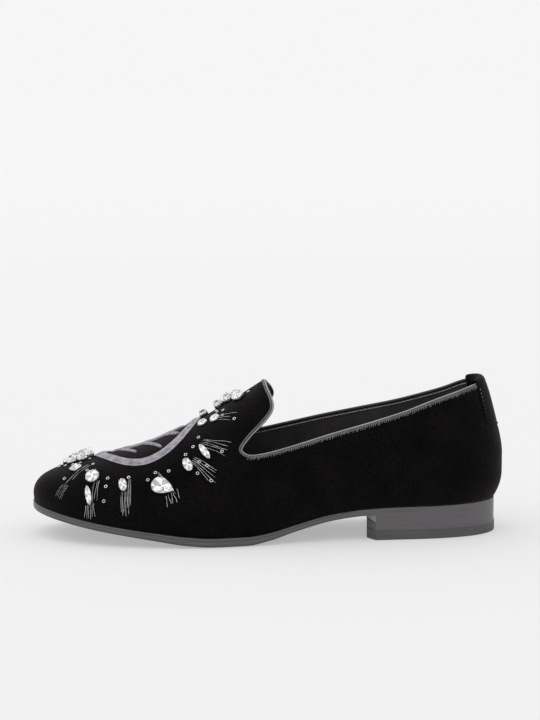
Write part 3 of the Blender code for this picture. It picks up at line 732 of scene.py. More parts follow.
def add_piece(name, points, faces, materials, slot=None, replaces=(), smooth=True, sharp=False, uv=None,
              finish_of_face=None):
    """A mesh in the shoe's frame, its doubles merged and its faces turned outwards, that rides with the
    shoe."""
    mesh = bpy.data.meshes.new(name)
    placed = (np.reshape(points, (-1, 3)) - BOX_CENTRE) * MM
    mesh.from_pydata(placed.tolist(), [], faces.tolist() if isinstance(faces, np.ndarray) else faces)
    for material in materials:
        mesh.materials.append(material)
    mesh.polygons.foreach_set("use_smooth", np.full(len(mesh.polygons), smooth))
    if finish_of_face is not None:
        mesh.polygons.foreach_set("material_index", np.asarray(finish_of_face, np.int32))
    if uv is not None:
        corners = np.empty(len(mesh.loops), np.int32)
        mesh.loops.foreach_get("vertex_index", corners)
        layer = mesh.uv_layers.new(name="along_and_across")
        layer.data.foreach_set("uv", np.reshape(uv, (-1, 2))[corners].astype(np.float32).ravel())
    shape = bmesh.new()
    shape.from_mesh(mesh)
    bmesh.ops.remove_doubles(shape, verts=shape.verts, dist=WELD)
    bmesh.ops.recalc_face_normals(shape, faces=shape.faces)
    shape.to_mesh(mesh)
    shape.free()
    if sharp:
        mesh.set_sharp_from_angle(angle=math.radians(SHARP_EDGE))
    piece = bpy.data.objects.new(name, mesh)
    bpy.context.scene.collection.objects.link(piece)
    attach(piece, "root")
    if replaces:
        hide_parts(*replaces)


def ways_across(path, normal, loop=False):
    """Directions across a path, square to its normals."""
    along = np.roll(path, -1, axis=0) - np.roll(path, 1, axis=0) if loop else np.gradient(path, axis=0)
    return unit(np.cross(normal, along))


def tube(path, up, across, radius, sides, loop=False):
    """A round bar: a circle for each point of the path, in the plane of up and across. The radius has a row
    for each point, and a column for each side or one for all."""
    turn = round_turns(sides)
    ring = np.cos(turn)[:, None] * across[:, None] + np.sin(turn)[:, None] * up[:, None]
    points = path[:, None] + ring * radius[..., None]
    return points.reshape(-1, 3), grid_quads(len(path), sides, loop_columns=loop, loop_rows=True)


def stitch_grain():
    """A grain-shaped unit stitch along the first axis, its thickness the fourth root of one minus x to the
    fourth."""
    share = np.linspace(-1, 1, STITCH_POINTS)[:, None]
    swell = (1 - share ** STITCH_POWER) ** (1 / STITCH_POWER)
    turn = round_turns(STITCH_SIDES)
    points = np.stack(np.broadcast_arrays(share, swell * np.cos(turn), swell * np.sin(turn)), -1)
    return points.reshape(-1, 3), grid_quads(STITCH_POINTS, STITCH_SIDES, loop_rows=True)


def ring_bead():
    """A small round bead with a hole: a circle carried round a circle, its axis the third direction."""
    around, turn = round_turns(BEAD_POINTS)[:, None], round_turns(BEAD_SIDES)
    reach = BEAD_RADIUS + BEAD_TUBE * np.cos(turn)
    rows = np.broadcast_arrays(reach * np.cos(around), reach * np.sin(around), BEAD_TUBE * np.sin(turn))
    faces = grid_quads(BEAD_POINTS, BEAD_SIDES, loop_columns=True, loop_rows=True)
    return np.stack(rows, -1).reshape(-1, 3), faces


# Finishes

def finish(name, **constants):
    """A Principled material with constant values on its sockets. Words in a socket's name are joined by
    underscores."""
    material = bpy.data.materials.new(name)
    material.use_nodes = True
    surface = material.node_tree.nodes["Principled BSDF"]
    for socket, value in constants.items():
        surface.inputs[socket.replace("_", " ")].default_value = value
    return material, material.node_tree, surface


def dress(tree, surface, colour, roughness):
    """Links a colour and a roughness to a surface."""
    tree.links.new(colour, surface.inputs["Base Color"])
    tree.links.new(roughness, surface.inputs["Roughness"])


def coordinates(tree, stretch=(1, 1, 1)):
    """Places on a piece in its own metres, stretched along each axis."""
    where = tree.nodes.new("ShaderNodeTexCoord")
    mapping = tree.nodes.new("ShaderNodeMapping")
    mapping.inputs["Scale"].default_value = stretch
    tree.links.new(where.outputs["Object"], mapping.inputs["Vector"])
    return mapping.outputs["Vector"]


def noise(tree, scale, stretch=(1, 1, 1), detail=3.0, roughness=0.5):
    """Cloudy noise over a piece, as a socket from 0 to 1."""
    texture = tree.nodes.new("ShaderNodeTexNoise")
    texture.inputs["Scale"].default_value = scale
    texture.inputs["Detail"].default_value = detail
    texture.inputs["Roughness"].default_value = roughness
    tree.links.new(coordinates(tree, stretch), texture.inputs["Vector"])
    return texture.outputs["Fac"]


def cells(tree, scale):
    """Distance to scattered points, as on grained leather."""
    texture = tree.nodes.new("ShaderNodeTexVoronoi")
    texture.inputs["Scale"].default_value = scale
    tree.links.new(coordinates(tree), texture.inputs["Vector"])
    return texture.outputs["Distance"]


def ramp(tree, factor, stops):
    """Colours between stops, each a place from 0 to 1 and a colour."""
    colours = tree.nodes.new("ShaderNodeValToRGB")
    elements = colours.color_ramp.elements
    for element, (place, colour) in zip(elements, (stops[0], stops[-1])):
        element.position = place
        element.color = (*colour, 1)
    for place, colour in stops[1:-1]:
        elements.new(place).color = (*colour, 1)
    tree.links.new(factor, colours.inputs["Fac"])
    return colours.outputs["Color"]


def spread(tree, factor, low, high):
    """A socket from 0 to 1 spread between two values."""
    mapped = tree.nodes.new("ShaderNodeMapRange")
    mapped.inputs["To Min"].default_value = low
    mapped.inputs["To Max"].default_value = high
    tree.links.new(factor, mapped.inputs["Value"])
    return mapped.outputs["Result"]


def along_axis(tree, source, axis, span):
    """A socket that eases along one axis. The span gives both ends on the axis, then the values there."""
    where = tree.nodes.new("ShaderNodeTexCoord")
    split = tree.nodes.new("ShaderNodeSeparateXYZ")
    mapped = tree.nodes.new("ShaderNodeMapRange")
    for socket, value in zip(("From Min", "From Max", "To Min", "To Max"), span):
        mapped.inputs[socket].default_value = value
    tree.links.new(where.outputs[source], split.inputs["Vector"])
    tree.links.new(split.outputs[axis], mapped.inputs["Value"])
    return mapped.outputs["Result"]


def relief(tree, surface, layers):
    """Bump from several heights, each a socket, a strength and a depth in metres, the first outermost."""
    normal = None
    for height, strength, depth in layers:
        bump = tree.nodes.new("ShaderNodeBump")
        bump.inputs["Strength"].default_value = strength
        bump.inputs["Distance"].default_value = depth
        tree.links.new(height, bump.inputs["Height"])
        if normal:
            tree.links.new(normal, bump.inputs["Normal"])
        normal = bump.outputs["Normal"]
    tree.links.new(normal, surface.inputs["Normal"])


def blended(tree, base, shade):
    """One colour multiplied by another."""
    mix = tree.nodes.new("ShaderNodeMix")
    mix.data_type = "RGBA"
    mix.blend_type = "MULTIPLY"
    mix.inputs["Factor"].default_value = 1.0
    tree.links.new(base, mix.inputs["A"])
    tree.links.new(shade, mix.inputs["B"])
    return mix.outputs["Result"]


def velvet_finish():
    """Black pile: soft sheen at grazing angles, fine pile bump and faint brushed patches."""
    material, tree, surface = finish("black_velvet", Specular_IOR_Level=0.03, Sheen_Weight=0.12,
                                     Sheen_Roughness=0.4, Sheen_Tint=(0.95, 0.88, 0.85, 1))
    patches = noise(tree, 55, detail=4)
    nap = noise(tree, 1100, detail=2, roughness=0.7)
    pile = ramp(tree, patches, ((0.3, (0.0026, 0.0024, 0.0024)), (0.75, (0.006, 0.0053, 0.0054))))
    brushed = ramp(tree, nap, ((0.3, (0.35, 0.35, 0.35)), (0.72, (1.75, 1.7, 1.7))))
    dress(tree, surface, blended(tree, pile, brushed), spread(tree, patches, 0.8, 1.0))
    relief(tree, surface, ((nap, 0.8, 0.0005), (patches, 0.35, 0.0008)))
    return material


def kid_finish(name, dark, light, roughness, grain_scale):
    """Fine grained black leather."""
    material, tree, surface = finish(name, Specular_IOR_Level=0.4)
    clouds = noise(tree, 60)
    dress(tree, surface, ramp(tree, clouds, ((0.3, dark), (0.7, light))),
          spread(tree, clouds, roughness - 0.06, roughness + 0.08))
    relief(tree, surface, ((cells(tree, grain_scale), 0.25, 0.0002),))
    return material


def edge_leather_finish(name, dark, light, roughness, layered):
    """Dyed and burnished leather edge, streaked along the sole, with thin layers where it is stacked."""
    material, tree, surface = finish(name, Coat_Weight=0.12, Coat_Roughness=0.3, Specular_IOR_Level=0.5)
    streaks = noise(tree, 1, (30, 30, layered), detail=5, roughness=0.62)
    middle = tuple(np.add(dark, light) / 2)
    dress(tree, surface, ramp(tree, streaks, ((0.28, dark), (0.5, middle), (0.74, light))),
          spread(tree, noise(tree, 90), roughness - 0.07, roughness + 0.1))
    relief(tree, surface, ((streaks, 0.12, 0.00012), (noise(tree, 900), 0.12, 0.0001)))
    return material


def sole_finish():
    """Sole leather, by height: a painted highlight along the welt at the top of its edge, a darker line under
    it, a satin grey edge and painted shade on the bottom bevel."""
    material, tree, surface = finish("sole_leather", Coat_Weight=0.1, Coat_Roughness=0.3,
                                     Specular_IOR_Level=0.45)
    # Painted highlight on the welt at the top and painted shade on the bottom bevel.
    tones = ramp(tree, along_axis(tree, "UV", "Y", (0.0, 1.0, 0.0, 1.0)), (
        (0.0, (0.02, 0.02, 0.02)), (0.14, (0.03, 0.029, 0.029)), (0.28, (0.07, 0.0675, 0.0685)),
        (0.5, (0.091, 0.0875, 0.091)), (0.74, (0.079, 0.0755, 0.079)), (0.8, (0.05, 0.0485, 0.05)),
        (0.86, (0.1, 0.098, 0.098)), (0.95, (0.125, 0.122, 0.12)), (1.0, (0.07, 0.07, 0.07))))
    streaks = noise(tree, 1, (35, 35, 1300), detail=5, roughness=0.62)
    mottle = ramp(tree, streaks, ((0.3, (0.9, 0.87, 0.86)), (0.7, (1.36, 1.31, 1.29))))
    dress(tree, surface, blended(tree, tones, mottle), spread(tree, noise(tree, 90), 0.34, 0.5))
    relief(tree, surface, ((streaks, 0.12, 0.0001), (noise(tree, 900), 0.1, 0.0001)))
    return material


def rubber_finish():
    """Dull grey rubber with faint level streaks."""
    material, tree, surface = finish("top_lift_rubber", Specular_IOR_Level=0.4)
    specks = noise(tree, 1, (45, 45, 1000), detail=4)
    dress(tree, surface, ramp(tree, specks, ((0.35, (0.074, 0.0725, 0.073)), (0.7, (0.104, 0.102, 0.103)))),
          spread(tree, specks, 0.5, 0.68))
    relief(tree, surface, ((specks, 0.2, 0.0001),))
    return material


def thread_finish(name, dark, light, roughness, metallic=0.0):
    """Silky or metal thread, mottled, with a fibre bump; the metal thread's wide mottling is painted glints.
    """
    material, tree, surface = finish(name, Metallic=metallic, Specular_IOR_Level=0.55, Sheen_Weight=0.15)
    fibres = noise(tree, 2200, detail=2)
    dress(tree, surface, ramp(tree, noise(tree, 300), ((0.3, dark), (0.7, light))),
          spread(tree, fibres, roughness - 0.08, roughness + 0.1))
    relief(tree, surface, ((fibres, 0.3, 0.00012),))
    return material


def fading_thread_finish():
    """Thread that is pale near the collar and as dark as the velvet lower down."""
    material, tree, surface = finish("tab_thread", Roughness=0.5, Specular_IOR_Level=0.3)
    level = along_axis(tree, "Object", "Z", TAB_THREAD_FADE)
    tones = ((0.0, (0.012, 0.012, 0.012)), (0.5, (0.05, 0.05, 0.051)), (1.0, (0.3, 0.3, 0.305)))
    tree.links.new(ramp(tree, level, tones), surface.inputs["Base Color"])
    return material


def crystal_finish():
    """Clear glass, very slightly clouded."""
    material, tree, surface = finish("clear_crystal", IOR=1.56, Transmission_Weight=1.0,
                                     Specular_IOR_Level=0.5)
    clouds = ramp(tree, noise(tree, 120), ((0.3, (0.97, 0.97, 0.98)), (0.7, (1.0, 1.0, 1.0))))
    dress(tree, surface, clouds, spread(tree, noise(tree, 500), 0.0, 0.03))
    return material


def silver_finish(name, dark, light, roughness, metallic=1.0, painted_glow=0.0):
    """Silver, clouded, and where it backs a stone with a painted glow for the light the stone gives back."""
    material, tree, surface = finish(name, Metallic=metallic, Emission_Color=WHITE,
                                     Emission_Strength=painted_glow)
    clouds = noise(tree, 400)
    dress(tree, surface, ramp(tree, clouds, ((0.3, dark), (0.7, light))),
          spread(tree, clouds, roughness * 0.7, roughness * 1.4))
    return material


# The upper, its lining and its edge

def crease_depth(grid):
    """How far the wall sinks at each point: for each crease the deepest of soft bell-shaped dents along its
    line, deepest in the middle and fading to both ends."""
    sunk = np.zeros(grid.shape[:2])
    share = np.linspace(0, 1, CREASE_POINTS)
    for station_a, girth_a, station_b, girth_b, half_width, depth in CREASES:
        line, _ = on_vamp(station_a + (station_b - station_a) * share, girth_a + (girth_b - girth_a) * share)
        distance = np.linalg.norm(grid[:, :, None] - line, axis=-1)
        dents = np.sin(share * HALF_TURN) * np.exp(-(distance / half_width) ** 2)
        sunk += depth * dents.max(-1)
    return sunk


def make_upper(velvet, lining):
    """The wall in two layers, each a closed sheet between two depths under the outside of the last."""
    grid, normal = upper_grid()
    grid = grid - normal * crease_depth(grid)[..., None]

    def layer(near, far):
        return np.concatenate([grid - normal * near, (grid - normal * far)[:, ::-1]], axis=1)

    faces = grid_quads(len(grid), 2 * (WALL_ROWS + 1), loop_columns=True, loop_rows=True)
    add_piece("velvet_upper", layer(0.0, VELVET_DEPTH), faces, [velvet], "velvet", ["upper"])
    add_piece("upper_lining", layer(LINING_TOP_DEPTH, WALL), faces, [lining], "sock_lining")


def twisted_cord(path, up, across, radius, pitch):
    """A two-strand cord round a closed path: a tube whose radius swells twice round and turns as it runs."""
    twist = FULL_TURN * run_along(path)[:, None] / pitch
    swell = 1 + CORD_TWIST * np.cos(2 * round_turns(CORD_SIDES) - twist)
    return tube(path, up, across, radius * swell, CORD_SIDES, loop=True)


def stitches(centre, long_way, wide_way, high_way):
    """Grain-shaped stitches, their half length, half width and half height given as directions at each
    place."""
    return copies(stitch_grain(), centre, long_way, wide_way, high_way)


def make_binding(ribbon, dark_ribbon, cord, thread):
    """A ribbon rolled over the edge, its radius rippling with fine ribs, with a painted highlight near its
    top, a twisted cord along its foot, and slanting stitches that whip the cord to the velvet of the
    quarters."""
    point, normal, out, _, _ = collar_line(PIPING_STEP)
    middle = point - normal * WALL / 2 + out * (PIPING_RADIUS + SEAM_GAP / 2)
    ripple = PIPING_RIB * np.cos(FULL_TURN * run_along(point) / PIPING_PITCH)
    radius = (PIPING_RADIUS - PIPING_RIB + ripple)[:, None]
    points, faces = tube(middle, normal, out, radius, PIPING_SIDES, loop=True)
    turn = round_turns(PIPING_SIDES) + HALF_TURN / PIPING_SIDES
    # Painted highlight: the faces that look up and out take the pale ribbon.
    pale = (turn > PIPING_PAINTED_HIGHLIGHT[0]) & (turn < PIPING_PAINTED_HIGHLIGHT[1])
    add_piece("bound_edge", points, faces, [dark_ribbon, ribbon], "piping_cord", ["collar_piping"],
              finish_of_face=np.tile(pale, len(point)))
    foot = point + out * FOOT_CORD_ABOVE + normal * FOOT_CORD_PROUD
    points, faces = twisted_cord(foot, normal, out, FOOT_CORD_RADIUS, FOOT_CORD_PITCH)
    add_piece("edge_cord", points, faces, [cord], "piping_cord")

    point, normal, out, along, row = collar_line(WHIP_PITCH)
    point, normal, out, along = (v[row < NOTCH_ROW] for v in (point, normal, out, along))
    uneven = 1 + WHIP_UNEVEN * np.random.default_rng(WHIP_SEED).uniform(-1, 1, (2, len(point), 1))
    top = point + out * WHIP_ABOVE + normal * WHIP_PROUD
    foot = point - out * WHIP_BELOW * uneven[0] + along * WHIP_SLANT * uneven[1]
    long_way = (top - foot) / 2
    wide_way = unit(np.cross(long_way, normal))
    high_way = unit(np.cross(wide_way, long_way))
    points, faces = stitches((top + foot) / 2, long_way, wide_way * WHIP_RADIUS, high_way * WHIP_RADIUS)
    add_piece("whip_stitches", points, faces, [thread], "piping_cord")


def make_facing(ribbon, thread):
    """A narrow ribbon inside the edge: a squared oval carried along it, with a row of stitches on its lower
    side."""
    point, normal, out, _, _ = collar_line(FACING_STEP)
    around = round_turns(FACING_SIDES)
    down = FACING_DEPTH / 2 * (1 - signed_power(np.cos(around), FACING_SQUARENESS[0]))
    proud = FACING_PROUD / 2 * signed_power(np.sin(around), FACING_SQUARENESS[1])
    middle = point - normal * (WALL + FACING_PROUD / 2)
    ring = middle[:, None] - out[:, None] * down[:, None] - normal[:, None] * proud[:, None]
    faces = grid_quads(*ring.shape[:2], loop_columns=True, loop_rows=True)
    add_piece("collar_facing", ring, faces, [ribbon], "sock_lining")

    point, normal, out, along, _ = collar_line(FACING_STITCH_PITCH)
    centre = point - normal * (WALL + FACING_PROUD) - out * FACING_STITCH_DEPTH
    points, faces = stitches(centre, along * FACING_STITCH_LENGTH / 2, out * FACING_STITCH_RADIUS,
                             normal * FACING_STITCH_RADIUS)
    add_piece("facing_stitches", points, faces, [thread], "piping_cord")


def tab_frame(share):
    """Turn, rise and side where each line of the heel tab crosses the collar."""
    turn, rise = np.empty(len(share)), np.empty(len(share))
    place = np.linspace(0, NOTCH_ROW, FINE_STEPS)
    for side in (OUTER, INNER):
        run = run_along(last_surface(*collar_edge(place, side), side))
        mine = share < 0 if side == OUTER else share >= 0
        row = np.interp(np.abs(share[mine]) * TAB_HALF_WIDTH, run, place)
        turn[mine], rise[mine] = collar_edge(row, side)
    return turn, rise, np.where(share < 0, OUTER, INNER)


def tab_drop(share):
    """How deep each line of the heel tab hangs outside: straight at the sides, rounded across the bottom."""
    return TAB_SIDE_DEPTH + (TAB_DEPTH - TAB_SIDE_DEPTH) * np.sqrt(1 - np.abs(share) ** TAB_ROUNDNESS)


def tab_stand_off(down):
    """How far the tab stands off the wall, at a share of the way down from the collar to its hem."""
    return TAB_STAND_OFF + (TAB_HEM_STAND_OFF - TAB_STAND_OFF) * down ** 2


def tab_sheet(share):
    """Middle of the heel tab: up the outside of the wall, in a half oval over the cord, down the inside."""
    turn, rise, side = tab_frame(share)

    def at_depth(depth, stand_off):
        below = rise_below(turn[:, None], rise[:, None], depth, side[:, None])
        turns, sides = (np.broadcast_to(v[:, None], below.shape) for v in (turn, side))
        off_wall = np.broadcast_to(stand_off, below.shape)[..., None]
        return last_surface(turns, below, sides) + surface_normal(turns, below, sides) * off_wall

    down = np.linspace(1, 0, TAB_OUTER_ROWS)
    outside = at_depth(tab_drop(share)[:, None] * down, tab_stand_off(down))
    inside = at_depth(np.linspace(0, TAB_INNER_DEPTH, TAB_INNER_ROWS), -(WALL + TAB_STAND_OFF))
    edge, normal = last_surface(turn, rise, side), surface_normal(turn, rise, side)
    up = unit(edge - last_surface(turn, rise_below(turn, rise, np.ones(len(share)), side), side))
    cord = edge - normal * WALL / 2 + up * (PIPING_RADIUS + SEAM_GAP)
    bend = np.linspace(0, HALF_TURN, TAB_FOLD_ROWS)[None, :, None]
    fold = cord[:, None] + np.cos(bend) * normal[:, None] * (WALL / 2 + TAB_STAND_OFF)
    fold = fold + np.sin(bend) * up[:, None] * TAB_FOLD_HEIGHT
    return np.concatenate([outside, fold, inside], axis=1)


def make_heel_tab(velvet, thread):
    """A velvet tab whose thickness rounds off to nothing at its border, with a row of stitches inside that
    border."""
    share = np.sin(np.linspace(-UPRIGHT, UPRIGHT, TAB_COLUMNS + 1))
    sheet = tab_sheet(share)
    along, up = np.gradient(sheet, axis=0), np.gradient(sheet, axis=1)
    normal = unit(np.cross(along, up))
    row_share = run_along(sheet) / run_along(sheet)[:, -1:]
    side = np.broadcast_to(1 - np.abs(share)[:, None], row_share.shape) / TAB_EDGE_SHARE
    border = np.minimum(side, np.minimum(row_share / TAB_HEM_SHARE, (1 - row_share) / TAB_EDGE_SHARE))
    thickness = TAB_THICKNESS / 2 * np.sqrt(1 - (1 - np.clip(border, 0, 1)) ** 2)
    front, back = sheet + normal * thickness[..., None], sheet - normal * thickness[..., None]
    ring = np.concatenate([front, back[:, ::-1]], axis=1)
    faces = grid_quads(*ring.shape[:2], loop_rows=True)
    add_piece("folded_heel_tab", ring, faces, [velvet], "velvet", ["heel_tab"])

    edge = 1 - TAB_STITCH_INSET / TAB_HALF_WIDTH
    across = edge * np.sin(np.linspace(-UPRIGHT, UPRIGHT, TAB_COLUMNS))
    down = np.linspace(0, 1, TAB_OUTER_ROWS)
    share = np.concatenate([np.full(TAB_OUTER_ROWS, -edge), across[1:-1], np.full(TAB_OUTER_ROWS, edge)])
    depth = tab_drop(share) - TAB_STITCH_INSET
    depth[:TAB_OUTER_ROWS] *= down
    depth[-TAB_OUTER_ROWS:] *= down[::-1]
    turn, rise, side = tab_frame(share)
    below = rise_below(turn, rise, depth, side)
    normal = surface_normal(turn, below, side)
    proud = tab_stand_off(depth / tab_drop(share)) + TAB_THICKNESS / 2
    line = last_surface(turn, below, side) + normal * proud[:, None]
    run = run_along(line)
    place = np.arange(TAB_STITCH_PITCH, run[-1], TAB_STITCH_PITCH)
    centre, normal = (np.stack([np.interp(place, run, column) for column in v.T], -1) for v in (line, normal))
    along = unit(np.gradient(centre, axis=0))
    wide_way = np.cross(normal, along) * TAB_STITCH_RADIUS
    points, faces = stitches(centre, along * TAB_STITCH_LENGTH / 2, wide_way, normal * TAB_STITCH_RADIUS)
    add_piece("heel_tab_stitches", points, faces, [thread], "piping_cord")


# Sole, heel and sock

def make_outsole(leather):
    """The sole edge profile carried round the outline, drawn in along its normal, with its top and bottom
    filled across."""
    turn = np.linspace(0, HALF_TURN, SOLE_COLUMNS + 1)
    station = station_at(turn)
    welted = np.clip((station - INNER_HEEL_LENGTH - BREAST[-1, 1]) / SEAT_FADE, 0, 1)[:, None]
    edge_inset = (tuck_at(station) - sole_margin(station))[:, None]
    edge_inset = edge_inset + SOLE_EDGE[:, 2] + (SOLE_EDGE[:, 0] - SOLE_EDGE[:, 2]) * welted
    plans, edges = {}, {}
    for side in (OUTER, INNER):
        plan = outline(np.broadcast_to(turn[:, None], edge_inset.shape), side, edge_inset)
        height = sole_top(plan[..., 0]) - sole_thickness(plan[..., 0]) * SOLE_EDGE[:, 1]
        plans[side], edges[side] = plan, raised(plan, height)
    share = np.linspace(0, 1, SOLE_SHARES)[None, 1:-1, None]

    def across(row, first, second, level):
        a, b = plans[first][:, row, None], plans[second][:, row, None]
        fill = a + (b - a) * share
        return raised(fill, level(fill[..., 0]))

    bottom, top = across(-1, OUTER, INNER, sole_bottom), across(0, INNER, OUTER, sole_top)
    ring = np.concatenate([edges[OUTER], bottom, edges[INNER][:, ::-1], top], axis=1)
    # Height up the edge, for the sole's painted highlight and shade; over the heel one mid tone.
    edge_height, filled = 1 - SOLE_EDGE[:, 1], np.zeros(SOLE_SHARES - 2)
    height = np.concatenate([edge_height, filled, edge_height[::-1], filled + 1])
    tone = SEAT_TONE + (height - SEAT_TONE) * welted
    uv = np.stack(np.broadcast_arrays(station[:, None] / LENGTH, tone), -1)
    faces = grid_quads(*ring.shape[:2], loop_rows=True)
    add_piece("leather_sole", ring, faces, [leather], "sole_leather", ["outsole"], uv=uv, sharp=True)


def make_sock(kid):
    """The insole under its sock: the outline inside the wall, crowned a little across, down to the top of the
    sole."""
    turn = np.linspace(0, HALF_TURN, SOLE_COLUMNS + 1)
    inset = tuck_at(station_at(turn)) + WALL + INSOLE_CLEARANCE
    outer, inner = outline(turn, OUTER, inset), outline(turn, INNER, inset)
    share = np.linspace(-1, 1, SOLE_SHARES)
    plan = outer[:, None] + (inner - outer)[:, None] * (1 + share[:, None]) / 2
    under = sole_top(plan[..., 0]) + SEAM_GAP
    rounded = INSOLE_THICKNESS - SOCK_CROWN * share ** SOCK_CROWN_POWER
    ring = np.concatenate([raised(plan, under + rounded), raised(plan, under)[:, ::-1]], axis=1)
    add_piece("sock", ring, grid_quads(*ring.shape[:2], loop_rows=True), [kid], "sock_lining", ["insole"])


def heel_plan(overhang):
    """Outline of the heel as station and Y: round the back from breast corner to breast corner, then along
    the breast."""
    sides = []
    for side, length in ((OUTER, OUTER_HEEL_LENGTH), (INNER, INNER_HEEL_LENGTH)):
        turn = np.linspace(turn_at(length), 0, HEEL_COLUMNS + 1)
        inset = tuck_at(station_at(turn)) - sole_margin(station_at(turn)) - overhang
        sides.append(outline(turn, side, inset))
    outer, inner = sides
    corner, middle = inner[0], (inner[0, 1] + outer[0, 1]) / 2
    share = np.linspace(BREAST[0, 0], BREAST[-1, 0], BREAST_POINTS)
    forward = flowing(BREAST[:, 1], np.linspace(0, len(BREAST) - 1, BREAST_POINTS))
    breast = np.stack([corner[0] + forward, middle + (corner[1] - middle) * share], -1)
    return np.concatenate([outer, inner[-2::-1], breast])


def stack_of(plan, heights, inset):
    """Rings of one plan at many heights, each drawn towards the middle by an inset, and lids over the first
    and last."""
    inward = unit(plan.mean(0) - plan)
    ring = plan + inward * inset[..., None]
    return raised(ring, np.broadcast_to(heights, ring.shape[:2])), lidded(*ring.shape[:2])


def make_heel(stack, rubber):
    """The stacked block, with a fine groove between its lifts and a flare at its foot, and the top lift with
    a softened lower edge."""
    plan = heel_plan(0.0)
    share = np.linspace(0, 1, HEEL_ROWS + 1)[:, None]
    heights = TOP_LIFT_HEIGHT + (sole_bottom(plan[:, 0]) + HEEL_WAX - TOP_LIFT_HEIGHT) * share
    level = heights.mean(1) - TOP_LIFT_HEIGHT
    from_groove = np.abs((level + LIFT_PITCH / 2) % LIFT_PITCH - LIFT_PITCH / 2)
    groove = LIFT_GROOVE * np.exp(-(from_groove / LIFT_GROOVE_HALF_WIDTH) ** 2)
    round_back = np.arange(len(plan)) < len(plan) - BREAST_POINTS
    flare = TOP_LIFT_OVERHANG * np.exp(-(level / HEEL_FLARE) ** 2)[:, None] * round_back
    block = stack_of(plan, heights, groove[:, None] - flare)
    add_piece("stacked_heel", *block, [stack], "heel_stack", ["heel"], sharp=True)
    lift = stack_of(heel_plan(TOP_LIFT_OVERHANG), TOP_LIFT_EDGE[:, :1], TOP_LIFT_EDGE[:, 1:])
    add_piece("rubber_top_lift", *lift, [rubber], "top_lift_rubber", ["top_lift"], sharp=True)


def make_breast_flap(leather, painted_shadow_sheet):
    """The end of the sole turned down over the front of the heel: a thin sheet from corner to corner, deep at
    the corners and shallow in front, over a dark sheet that shows as a line below it: a painted shadow."""
    plan = heel_plan(0.0)
    breast, inner_corner, outer_corner = plan[-BREAST_POINTS:], plan[2 * HEEL_COLUMNS], plan[0]
    share = np.linspace(0, 1, FLAP_CORNER_POINTS)[:, None]
    path = np.concatenate([inner_corner + (breast[0] - inner_corner) * share[:-1], breast,
                           breast[-1] + (outer_corner - breast[-1]) * share[1:]])
    along = unit(np.gradient(path, axis=0))
    forward = np.stack([-along[:, 1], along[:, 0]], -1)
    from_corner = np.clip(np.arange(len(path)) / (FLAP_CORNER_POINTS - 1), 0, 1)
    from_corner = np.minimum(from_corner, from_corner[::-1])
    depth = FLAP_CORNER_DEPTH + (FLAP_FRONT_DEPTH - FLAP_CORNER_DEPTH) * from_corner
    top = sole_bottom(path[:, 0])
    layers = (("breast_flap", leather, FLAP_THICKNESS, depth),
              ("flap_painted_shadow", painted_shadow_sheet, FLAP_SHADOW_THICKNESS, depth + FLAP_SHADOW_DROP))
    for name, material, thickness, drop in layers:
        front = path + forward * thickness
        corners = ((path, top), (front, top), (front, top - drop), (path, top - drop))
        ring = np.stack([raised(*corner) for corner in corners], axis=1)
        add_piece(name, ring, lidded(*ring.shape[:2]), [material], "sole_leather", sharp=True)


# Embroidery, stones, beads and sprays

def even_line(station, girth, width, step):
    """Stations, girths and widths in even steps along a line on the vamp, and the distance along it."""
    point, _ = on_vamp(station, girth)
    run = run_along(point)
    place = np.linspace(0, run[-1], int(run[-1] / step) + 1)
    return tuple(np.interp(place, run, v) for v in (station, girth, width)) + (place,)


def satin_band(station, girth, half_width, loop=False):
    """Padded satin stitch along a line. Its section is a low arch, higher where a thread lies and lower
    between two, and the threads lean across the band. An open band thins to a point at both ends."""
    station, girth, half_width, run = even_line(station, girth, half_width, BAND_STEP)
    if loop:
        station, girth, half_width, run = (v[:-1] for v in (station, girth, half_width, run))
    point, normal = on_vamp(station, girth)
    end = np.ones(len(run)) if loop else np.sqrt(1 - (2 * run / run[-1] - 1) ** BAND_END_POWER)
    reach = ways_across(point, normal, loop)[:, None] * (half_width * end)[:, None, None]
    point, normal = point[:, None], normal[:, None]
    v = np.linspace(-1, 1, BAND_ROWS)
    arch = BAND_EDGE_HEIGHT + (BAND_CROWN_HEIGHT - BAND_EDGE_HEIGHT) * (1 - v ** 2)
    thread = np.abs(np.sin(HALF_TURN * (run[:, None] / THREAD_PITCH + THREAD_SLANT * v)))
    height = (arch - THREAD_RIDGE + THREAD_RIDGE * thread) * end[:, None]
    top = point + reach * (v * (1 + THREAD_BULGE * thread))[..., None] + normal * height[..., None]
    low = point + reach * np.array((1, -1))[:, None] - normal * BAND_ROOT
    ring = np.concatenate([top, low], axis=1)
    return ring.reshape(-1, 3), grid_quads(*ring.shape[:2], loop_columns=loop, loop_rows=True)


def beside_line(station, girth, offset):
    """Path, normals and directions across for a cord that lies beside a closed line on the vamp."""
    station, girth, _, _ = (v[:-1] for v in even_line(station, girth, station, EDGE_CORD_STEP))
    point, normal = on_vamp(station, girth)
    across = ways_across(point, normal, loop=True)
    return point + across * offset + normal * EDGE_CORD_RADIUS, normal, across


